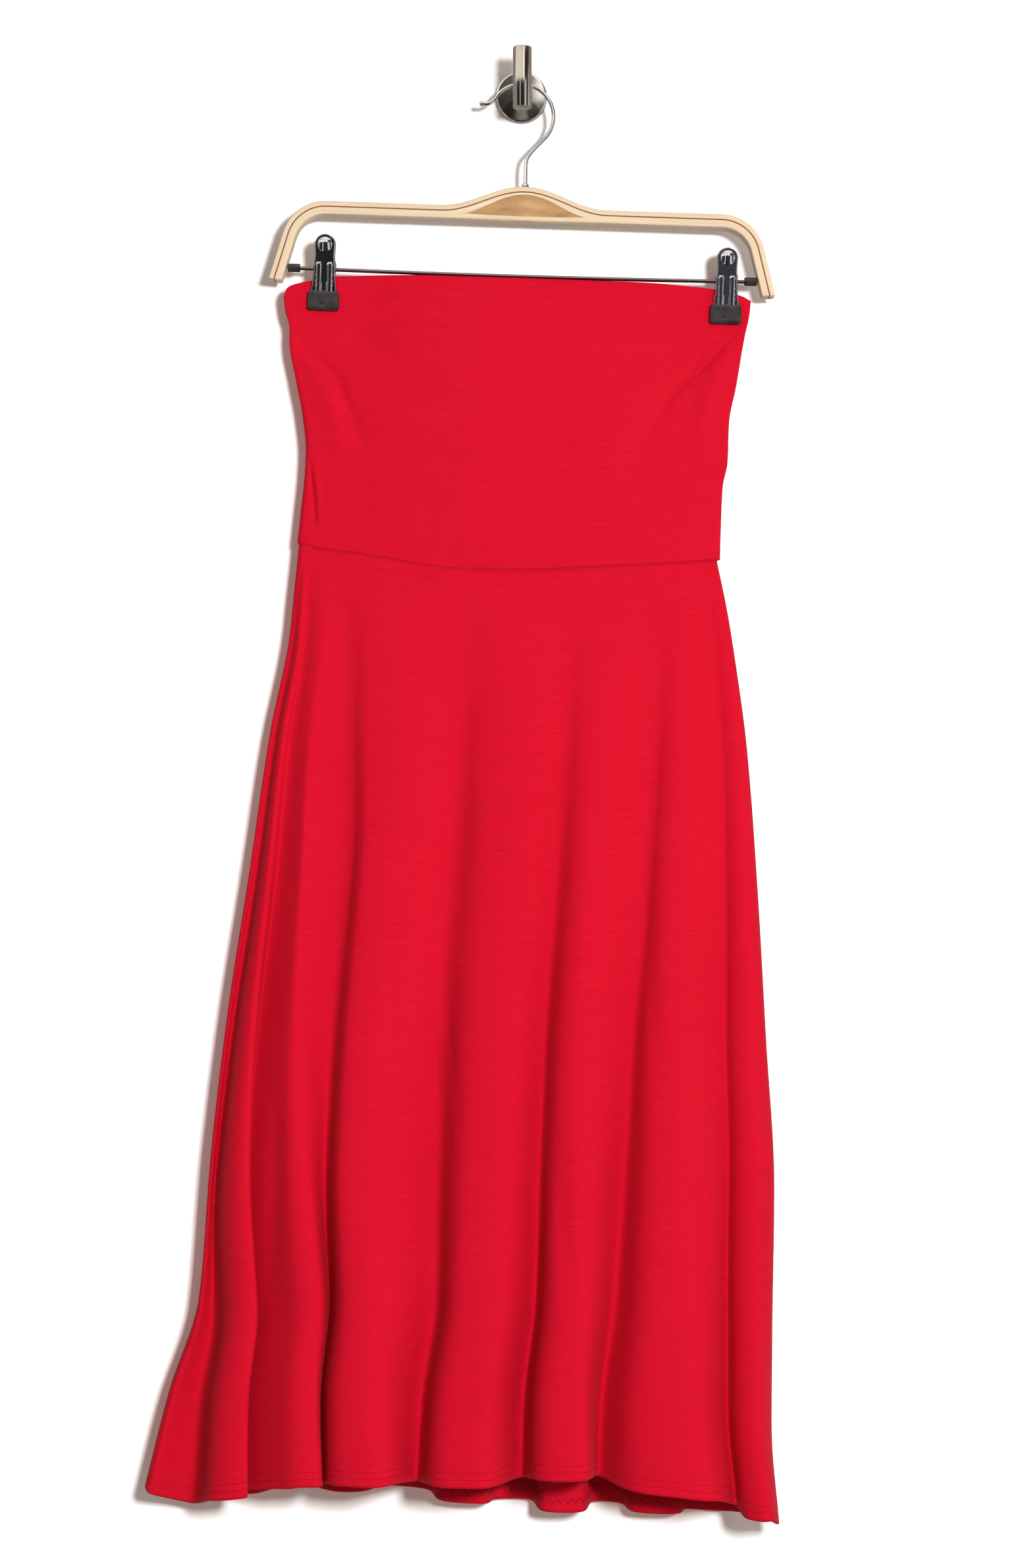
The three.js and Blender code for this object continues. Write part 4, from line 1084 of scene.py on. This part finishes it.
def drawn_lines_group():
    """Fine lines that drawing, turning or brushing leaves in metal, and how rough they make it."""
    tree = bpy.data.node_groups.new("drawn_lines", "ShaderNodeTree")
    tree.interface.new_socket("Vector", in_out="INPUT", socket_type="NodeSocketVector")
    tree.interface.new_socket("Streaks", in_out="INPUT", socket_type="NodeSocketVector")
    tree.interface.new_socket("Roughness", in_out="INPUT", socket_type="NodeSocketFloat")
    tree.interface.new_socket("Lines", in_out="OUTPUT", socket_type="NodeSocketFloat")
    tree.interface.new_socket("Rough", in_out="OUTPUT", socket_type="NodeSocketFloat")
    given = tree.nodes.new("NodeGroupInput").outputs
    ends = tree.nodes.new("NodeGroupOutput").inputs
    stretched = add_node(tree, "VectorMath", {0: given["Vector"], 1: given["Streaks"]}, operation="MULTIPLY")
    noise = add_node(tree, "TexNoise", {"Vector": stretched.outputs[0], "Scale": 1.0, "Detail": 3.0})
    spread = math_node(tree, "MULTIPLY_ADD", noise.outputs["Fac"], 0.6, 0.7)
    tree.links.new(noise.outputs["Fac"], ends["Lines"])
    tree.links.new(math_node(tree, "MULTIPLY", spread, given["Roughness"]), ends["Rough"])
    return tree


drawn_lines = drawn_lines_group()


def new_metal(name, color, roughness, streaks, streak_depth):
    """Bright metal with fine lines in its surface. Returns the place and the tint for the caller to link."""
    material, tree, metal = new_material(name, roughness, 0.5)
    metal.inputs["Metallic"].default_value = 1.0
    lines = add_node(tree, "Group", node_tree=drawn_lines)
    lines.inputs["Streaks"].default_value = streaks
    lines.inputs["Roughness"].default_value = roughness
    darker = tuple(0.9 * value for value in color)
    tint = ramp_node(tree, lines.outputs["Lines"], [(0.3, darker), (0.7, color)])
    tree.links.new(lines.outputs["Rough"], metal.inputs["Roughness"])
    relief = {"Strength": 0.6, "Distance": streak_depth, "Height": lines.outputs["Lines"]}
    bump = add_node(tree, "Bump", relief)
    tree.links.new(bump.outputs[0], metal.inputs["Normal"])
    return material, tree, lines.inputs["Vector"], tint


def metal_material(name, color, roughness, streaks, streak_depth):
    material, tree, vector, tint = new_metal(name, color, roughness, streaks, streak_depth)
    tree.links.new(add_node(tree, "TexCoord").outputs["Object"], vector)
    tree.links.new(tint, tree.nodes["Principled BSDF"].inputs["Base Color"])
    return material


def bent_wire(name, points, radius, matrix, material):
    """A round wire with closed ends, on a smooth line through its points."""
    curve = bpy.data.curves.new(name + "_line", "CURVE")
    curve.dimensions = "3D"
    curve.bevel_depth = radius
    curve.bevel_resolution = 5
    curve.resolution_u = 8
    curve.use_fill_caps = True
    spline = curve.splines.new("BEZIER")
    spline.bezier_points.add(len(points) - 1)
    for bezier_point, point in zip(spline.bezier_points, points):
        bezier_point.co = point
        bezier_point.handle_left_type = "AUTO"
        bezier_point.handle_right_type = "AUTO"
    return placed(name, solid_of_curve(curve), matrix, material, 50)


def turned(name, profile, steps, matrix, material):
    """A turned piece: the profile, as (radius, height), starts and ends on the axis or closes on itself."""
    bm = bmesh.new()
    verts = [bm.verts.new((radius, 0, height)) for radius, height in profile]
    edges = [bm.edges.new(pair) for pair in zip(verts, verts[1:])]
    bmesh.ops.spin(
        bm, geom=verts + edges, axis=(0, 0, 1), cent=(0, 0, 0), dvec=(0, 0, 0), angle=2 * math.pi,
        steps=steps, use_merge=True, use_duplicate=False,
    )
    bmesh.ops.remove_doubles(bm, verts=bm.verts, dist=1e-6)
    bmesh.ops.recalc_face_normals(bm, faces=bm.faces)
    return placed(name, bm, matrix, material, 35)


def loop_point(angle):
    return (loop_x + loop_radius * math.cos(angle), loop_radius * (math.sin(angle) - 1), 0)


bright_chrome = metal_material("bright_chrome", (0.83, 0.83, 0.85), 0.07, (60, 60, 900), 0.000004)
loop_start, loop_end = loop_point(loop_from), loop_point(loop_to)
elbow_z = shank_from + shank + elbow_rise
hook_points = [
    (0, shank_foot, 0),
    (0, shank_from + shank / 2, 0),
    (0, shank_from + shank, 0),
    (0.0013, elbow_z, 0),
    (loop_start[0] / 2, (elbow_z + loop_start[1]) / 2, 0),
    *[loop_point(angle) for angle in even_steps(loop_from, loop_to, 12)],
    (loop_end[0] - 0.0046, loop_end[1] - 0.0032, 0),
    (loop_end[0] - 0.0080, loop_end[1] - 0.0034, 0),
]
hook = bent_wire("hook_wire", hook_points, wire_radius, to_world, bright_chrome)
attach(hook, "root")
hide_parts("hanger_hook")

tip_at = Matrix.Translation(hook_points[-1]) @ Matrix.Rotation(math.radians(-90), 4, "Y")
tip_profile = [
    (0, -0.0016), (0.0016, -0.0015), (0.0016, -0.0006), (0.0010, 0.0), (0.0010, 0.0003),
    (0.0019, 0.0006), (0.0019, 0.0010), (0.0016, 0.0013), (0.0020, 0.0018), (0.0021, 0.0025),
    (0.0019, 0.0032), (0.0012, 0.0039), (0, 0.0042),
]
tip = turned("hook_tip", tip_profile, 24, to_world @ tip_at, bright_chrome)
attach(tip, "root")

stand_up = Matrix.Rotation(math.radians(-90), 4, "X")
collar_profile = [
    (0, 0), (0.0036, 0), (0.0036, 0.0004), (0.0026, 0.0009), (0.0025, 0.0014),
    (0.0031, 0.0021), (0.0031, 0.0029), (0.0026, 0.0038), (0.0019, 0.0042), (0, 0.0042),
]
collar_sunk = 0.0001
collar_at = to_world @ Matrix.Translation((0, bar_top + hump_rise - collar_sunk, 0)) @ stand_up
collar = turned("hook_collar", collar_profile, 32, collar_at, bright_chrome)
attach(collar, "root")
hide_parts("hanger_collar")


# Rod: a drawn steel rod between the legs of the hanger, sagging slightly under the dress and a little lower
# at the left, with a short moulded rubber sleeve pushed on each end.
rod_radius = 0.00165
rod_drop = 0.0546
rod_sag = 0.0015
rod_left_low = 0.0013
rod_half = 0.1985
sleeve_length = 0.0104
sleeve_radius = 0.0035
rod_z = bar_top - rod_drop
dark_steel = metal_material("drawn_steel", (0.33, 0.27, 0.28), 0.3, (30, 1200, 1200), 0.000006)
rod_points = [
    (x, rod_z - rod_sag * (1 - (x / rod_half) ** 2) - rod_left_low * (rod_half - x) / (2 * rod_half), 0)
    for x in even_steps(-rod_half, rod_half, 8)
]
rod = bent_wire("steel_rod", rod_points, rod_radius, to_world, dark_steel)
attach(rod, "root")
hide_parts("hanger_rod")


def rubber_material():
    """Matt black rubber, finely gritty and worn in patches."""
    material, tree, rubber = new_material("black_rubber", 0.4, 0.6)
    place = add_node(tree, "TexCoord").outputs["Object"]
    grit = add_node(tree, "TexNoise", {"Vector": place, "Scale": 1600.0, "Detail": 2.0}).outputs["Fac"]
    worn = add_node(tree, "TexNoise", {"Vector": place, "Scale": 160.0, "Detail": 3.0}).outputs["Fac"]
    color = ramp_node(tree, worn, [(0.35, (0.013, 0.0115, 0.012)), (0.7, (0.026, 0.023, 0.024))])
    tree.links.new(color, rubber.inputs["Base Color"])
    tree.links.new(math_node(tree, "MULTIPLY_ADD", worn, 0.25, 0.3), rubber.inputs["Roughness"])
    bump = add_node(tree, "Bump", {"Strength": 0.3, "Distance": 0.00006, "Height": grit})
    tree.links.new(bump.outputs[0], rubber.inputs["Normal"])
    return material


black_rubber = rubber_material()
sleeve_edge = 0.0006
sleeve_profile = [
    (rod_radius, 0), (sleeve_radius - sleeve_edge, 0), (sleeve_radius, sleeve_edge),
    (sleeve_radius, sleeve_length - sleeve_edge), (sleeve_radius - sleeve_edge, sleeve_length),
    (rod_radius, sleeve_length), (rod_radius, 0),
]
for side, start, low in (("left", -rod_half, rod_left_low), ("right", rod_half - sleeve_length, 0)):
    lay_along = Matrix.Translation((start, rod_z - low, 0)) @ Matrix.Rotation(math.radians(90), 4, "Y")
    sleeve = turned(f"rubber_sleeve_{side}", sleeve_profile, 32, to_world @ lay_along, black_rubber)
    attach(sleeve, "root")
    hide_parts(f"rod_sleeve_{side}")


# Clips: two pressed chrome plates that turn on the rod under a coil spring, with a domed thumb rest, two long
# stiffening ribs and a moulded rubber jaw each. Each clip leans a little as the dress pulls it.
jaw_drop = 0.0372            # from the rod down to the foot of the jaws
pad_width = 0.0268
pad_height = 0.0166
pad_depth = 0.0055
pad_inner = 0.00205          # from the middle of the dress to a jaw's inner face
pad_fillet = 0.0024
pad_taper = 0.035
pad_cuts = 28
dimple_x = -0.0012
dimple_z = -0.0036
dimple_depth = 0.0009
dimple_width = 0.0011
lip_rise = 0.00025
lip_radius = 0.0019
lip_width = 0.0006
plate_out = 0.009
plate_lean = 0.14
plate_flange = 0.0034
plate_roll = 0.0013
plate_sheet = 0.0009
plate_columns = 64
plate_rows = 130
plate_foot = -0.0260         # heights on the plates are counted from the rod
head_up = 0.0173
head_radius = 0.00915
back_inset = 0.0016
dome_radius = 0.0059
dome_rise = 0.0027
rib_x = 0.0047
rib_top = 0.0005
rib_radius = 0.0022
rib_rise = 0.0011
ear_x = 0.0088
ear_lobe = 0.0038
ear_sunk = 0.0008            # how far an ear's root lies inside the plate
ear_edge = 0.0002
coil_radius = 0.0029
coil_wire = 0.0006
coil_half = 0.0050
coil_turns = 5
coil_steps = 12
coil_leg = (0.0075, -0.006)  # where the ends of the coil reach: toward the wall, and down
clip_lean = {"left": math.radians(2.3), "right": math.radians(1.4)}

PlateRow = namedtuple("PlateRow", "z half")
plate_half_at = curve_through([
    PlateRow(plate_foot, 0.0113),
    PlateRow(-0.0203, 0.0112),
    PlateRow(-0.0120, 0.0101),
    PlateRow(-0.0050, 0.0095),
    PlateRow(0.0000, 0.0093),
    PlateRow(0.0080, 0.0087),
    PlateRow(head_up, head_radius),
], "z", "half")
polished_chrome = metal_material("polished_chrome", (0.72, 0.72, 0.74), 0.05, (500, 500, 500), 0.000003)
spring_steel = metal_material("spring_steel", (0.6, 0.6, 0.61), 0.2, (900, 900, 900), 0.000004)


def plate_point(across, up, inset):
    """A point of a clip's plate: (x, out from the rod, z), for across from -1 to 1 and up from 0 to 1."""
    z = lerp(plate_foot, head_up + head_radius - inset, up)
    half = plate_half_at(z) - inset
    if z > head_up:
        half = math.sqrt(max(0.0, (head_radius - inset) ** 2 - (z - head_up) ** 2))
        x = across * half
        margin = head_radius - inset - math.hypot(x, z - head_up)
    else:
        x = across * half
        margin = half - abs(x)
    out = plate_out + plate_lean * z
    out -= plate_flange * (1 - min(1.0, margin / plate_roll)) ** 2.4
    from_dome = math.hypot(x, z - head_up) / (dome_radius - inset / 2)
    if from_dome < 1:
        out += dome_rise * (1 - from_dome ** 2) ** 0.75
    for rib in (-rib_x, rib_x):
        off = math.hypot(x - rib, max(0.0, z - rib_top)) / rib_radius
        if off < 1:
            out += rib_rise * math.sqrt(1 - off ** 4)
    return x, out, z


def clip_plate(name, clip, sign, inset):
    bm = bmesh.new()
    bmesh.ops.create_grid(bm, x_segments=plate_columns, y_segments=plate_rows, size=1)
    for vert in bm.verts:
        across = math.sin(vert.co.x * math.pi / 2)
        up = math.sin((vert.co.y + 1) * math.pi / 4)
        x, out, z = plate_point(across, up, inset)
        vert.co = (clip.x + x, -(hang_out + sign * out), clip.jaw + jaw_drop + z)
    bmesh.ops.remove_doubles(bm, verts=bm.verts, dist=1e-6)
    if sign < 0:
        bmesh.ops.reverse_faces(bm, faces=bm.faces)
    plate = finished(name, bm, polished_chrome)
    sheet = plate.modifiers.new("sheet", "SOLIDIFY")
    sheet.thickness = plate_sheet
    sheet.offset = -1
    return plate


def rounded_block(share, half):
    """A point of a block with rounded edges, for shares of its half sizes from -1 to 1."""
    full = Vector([math.sin(value * math.pi / 2) * size for value, size in zip(share, half)])
    kept = Vector([min(size - pad_fillet, max(pad_fillet - size, value)) for value, size in zip(full, half)])
    corner = full - kept
    on_face = corner.length > 1e-9 and max(abs(value) for value in corner) >= pad_fillet * 0.999
    return kept + corner.normalized() * pad_fillet if on_face else full


def clip_pad(name, clip, sign, leaned):
    """A moulded jaw: a block rounded on all its edges, a little narrower at the top, with a small dimple."""
    half = Vector((pad_width / 2, pad_depth / 2, pad_height / 2))
    bm = bmesh.new()
    bmesh.ops.create_cube(bm, size=2)
    bmesh.ops.subdivide_edges(bm, edges=bm.edges, cuts=pad_cuts, use_grid_fill=True)
    for vert in bm.verts:
        point = rounded_block(vert.co, half)
        point.x *= 1 - pad_taper * max(0.0, point.z / half.z)
        if point.y > 0:
            off = math.hypot(point.x - dimple_x, point.z - dimple_z)
            point.y -= dimple_depth * math.exp(-((off / dimple_width) ** 2))
            point.y += lip_rise * math.exp(-(((off - lip_radius) / lip_width) ** 2))
        vert.co = (
            clip.x + point.x,
            -(hang_out + sign * (pad_inner + half.y + point.y)),
            clip.jaw + half.z + point.z,
        )
    bmesh.ops.recalc_face_normals(bm, faces=bm.faces)
    bmesh.ops.transform(bm, matrix=leaned, verts=bm.verts)
    return finished(name, bm, black_rubber)


def clip_ear(name, clip, sign, x):
    """An ear of the plate that the rod passes through, as a flat lobe across the rod."""
    web = plate_out - ear_sunk
    outline = [(sign * web, -ear_lobe)]
    outline += [(-sign * ear_lobe * math.sin(a), -ear_lobe * math.cos(a)) for a in even_steps(0, math.pi, 18)]
    outline += [(sign * web, ear_lobe)]
    across_rod = Matrix((
        (0, 0, 1, clip.x + x), (-1, 0, 0, -hang_out), (0, 1, 0, clip.jaw + jaw_drop), (0, 0, 0, 1),
    ))
    return flat_piece(name, outline, plate_sheet, ear_edge, across_rod, polished_chrome)


def pressed_plate(name, clip, sign, inset, leaned):
    """A plate with its two ears as one object, its thickness applied, then leaned with the clip."""
    parts = [clip_plate(name + "_sheet", clip, sign, inset)]
    for side, x in (("left", inset - ear_x), ("right", ear_x - inset)):
        parts.append(clip_ear(f"{name}_ear_{side}", clip, sign, x))
    bpy.context.view_layer.update()
    graph = bpy.context.evaluated_depsgraph_get()
    bm = bmesh.new()
    for part in parts:
        mesh = bpy.data.meshes.new_from_object(part.evaluated_get(graph))
        bm.from_mesh(mesh)
        bpy.data.meshes.remove(mesh)
        bpy.data.objects.remove(part)
    return placed(name + "_pressed", bm, leaned, polished_chrome, 50)


def coil_line():
    line = [(-coil_half, *coil_leg)]
    for i in range(coil_turns * coil_steps + 1):
        angle = math.pi / 2 + 2 * math.pi * i / coil_steps
        x = lerp(-coil_half, coil_half, i / (coil_turns * coil_steps))
        line.append((x, coil_radius * math.sin(angle), coil_radius * math.cos(angle)))
    return line + [(coil_half, *coil_leg)]


for clip in clips:
    jaw_middle = Vector((clip.x, -hang_out, clip.jaw + pad_height / 2))
    lean = Matrix.Rotation(clip_lean[clip.side], 4, "Y")
    leaned = Matrix.Translation(jaw_middle) @ lean @ Matrix.Translation(-jaw_middle)
    for face, sign, inset in (("front", 1, 0.0), ("back", -1, back_inset)):
        plate = pressed_plate(f"clip_{clip.side}_{face}_plate", clip, sign, inset, leaned)
        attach(plate, "root")
        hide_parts(f"clip_{clip.side}_{face}_plate")
        pad = clip_pad(f"clip_{clip.side}_{face}_jaw", clip, sign, leaned)
        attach(pad, "root")
        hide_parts(f"clip_{clip.side}_{face}_pad")
    spring_at = leaned @ Matrix.Translation((clip.x, -hang_out, clip.jaw + jaw_drop))
    spring = bent_wire(f"clip_{clip.side}_coil", coil_line(), coil_wire, spring_at, spring_steel)
    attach(spring, "root")
    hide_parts(f"clip_{clip.side}_spring")


# Wall hook: a round plate that lies on the wall, a short peg out of it and a thick upright bar across the
# peg's end, all turned from nickel, the peg and the bar brushed. The hanger hangs on the peg.
plate_radius = 0.022
plate_thick = 0.005
plate_rim = 0.0016
rim_from = 0.0203            # radius past which a highlight is painted on the plate's rim
peg_radius = 0.0035
peg_down = 0.0015
peg_foot = 0.0006
upright_radius = 0.0079
upright_length = 0.0504
upright_out = 0.050
upright_up = 0.00165
upright_right = 0.0006
face_out = Matrix.Rotation(math.radians(90), 4, "X")
# A painted reflection: the sheen that a turned plate shows as a fan round its middle is painted into its
# colour.
# Shares of a full turn, from below by way of the left, and how bright the paint makes the metal there.
painted_sheen_fan = [
    (0.0, 1.9), (0.04, 1.6), (0.09, 0.4), (0.25, 0.09), (0.40, 0.15), (0.55, 0.4),
    (0.68, 0.85), (0.85, 1.0), (0.93, 0.9), (0.965, 1.9),
]
# A painted highlight on the plate's rim.
painted_rim_highlight = (1.6, 1.6, 1.6, 1)


def turned_metal_material():
    """Nickel turned on a lathe: fine rings round its middle, with a fan of sheen and a bright rim painted
    into its colour as painted reflection.
    """
    material, tree, vector, tint = new_metal("turned_nickel", (0.56, 0.53, 0.49), 0.2, (2600, 1, 1), 0.00001)
    axes = add_node(tree, "SeparateXYZ", {0: add_node(tree, "TexCoord").outputs["Object"]}).outputs
    squares = [math_node(tree, "MULTIPLY", axes[axis], axes[axis]) for axis in ("X", "Z")]
    radius = math_node(tree, "SQRT", math_node(tree, "ADD", *squares))
    tree.links.new(add_node(tree, "CombineXYZ", {"X": radius, "Y": axes["Y"]}).outputs[0], vector)
    # The fan of sheen and the bright rim are painted reflection, multiplied into the metal's colour.
    angle = math_node(tree, "ARCTAN2", axes["X"], axes["Z"])
    turn = math_node(tree, "MULTIPLY_ADD", angle, 0.5 / math.pi, 0.5)
    fan = ramp_node(tree, turn, [(place, (share,) * 3) for place, share in painted_sheen_fan])
    fan = mix_colors(tree, math_node(tree, "GREATER_THAN", radius, rim_from), fan, painted_rim_highlight)
    sheen = mix_colors(tree, 1.0, tint, fan, "MULTIPLY")
    tree.links.new(sheen, tree.nodes["Principled BSDF"].inputs["Base Color"])
    return material


disc_profile = [
    (0, 0), (plate_radius - 0.0003, 0), (plate_radius, 0.0003), (plate_radius, plate_thick - plate_rim),
]
disc_profile += [
    (plate_radius - plate_rim * (1 - math.cos(angle)), plate_thick - plate_rim * (1 - math.sin(angle)))
    for angle in even_steps(math.radians(10), math.radians(62), 5)
]
disc_profile += [(plate_radius - 0.0020, plate_thick - 0.0001), (plate_radius - 0.0023, plate_thick)]
disc_profile += [(0, plate_thick)]
disc = turned("wall_disc", disc_profile, 128, face_out, turned_metal_material())

brushed_nickel = metal_material("brushed_nickel", (0.60, 0.55, 0.50), 0.12, (900, 900, 10), 0.000001)
peg_length = upright_out - plate_thick
peg_profile = [
    (0, 0), (peg_radius + peg_foot, 0), (peg_radius, peg_foot), (peg_radius, peg_length), (0, peg_length),
]
peg_at = Matrix.Translation((0, -plate_thick, -peg_down)) @ face_out
peg = turned("wall_hook_peg", peg_profile, 48, peg_at, brushed_nickel)

end = upright_length / 2
upright_profile = [
    (0, -end), (upright_radius - 0.0009, -end), (upright_radius - 0.0003, -end + 0.0002),
    (upright_radius, -end + 0.0009), (upright_radius, end - 0.0009), (upright_radius - 0.0003, end - 0.0002),
    (upright_radius - 0.0009, end), (0, end),
]
upright_at = Matrix.Translation((upright_right, -upright_out, upright_up))
upright = turned("wall_hook_upright", upright_profile, 96, upright_at, brushed_nickel)
for piece, node in ((disc, "wall_plate"), (peg, "wall_peg"), (upright, "wall_bar")):
    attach(piece, "root")
    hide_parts(node)
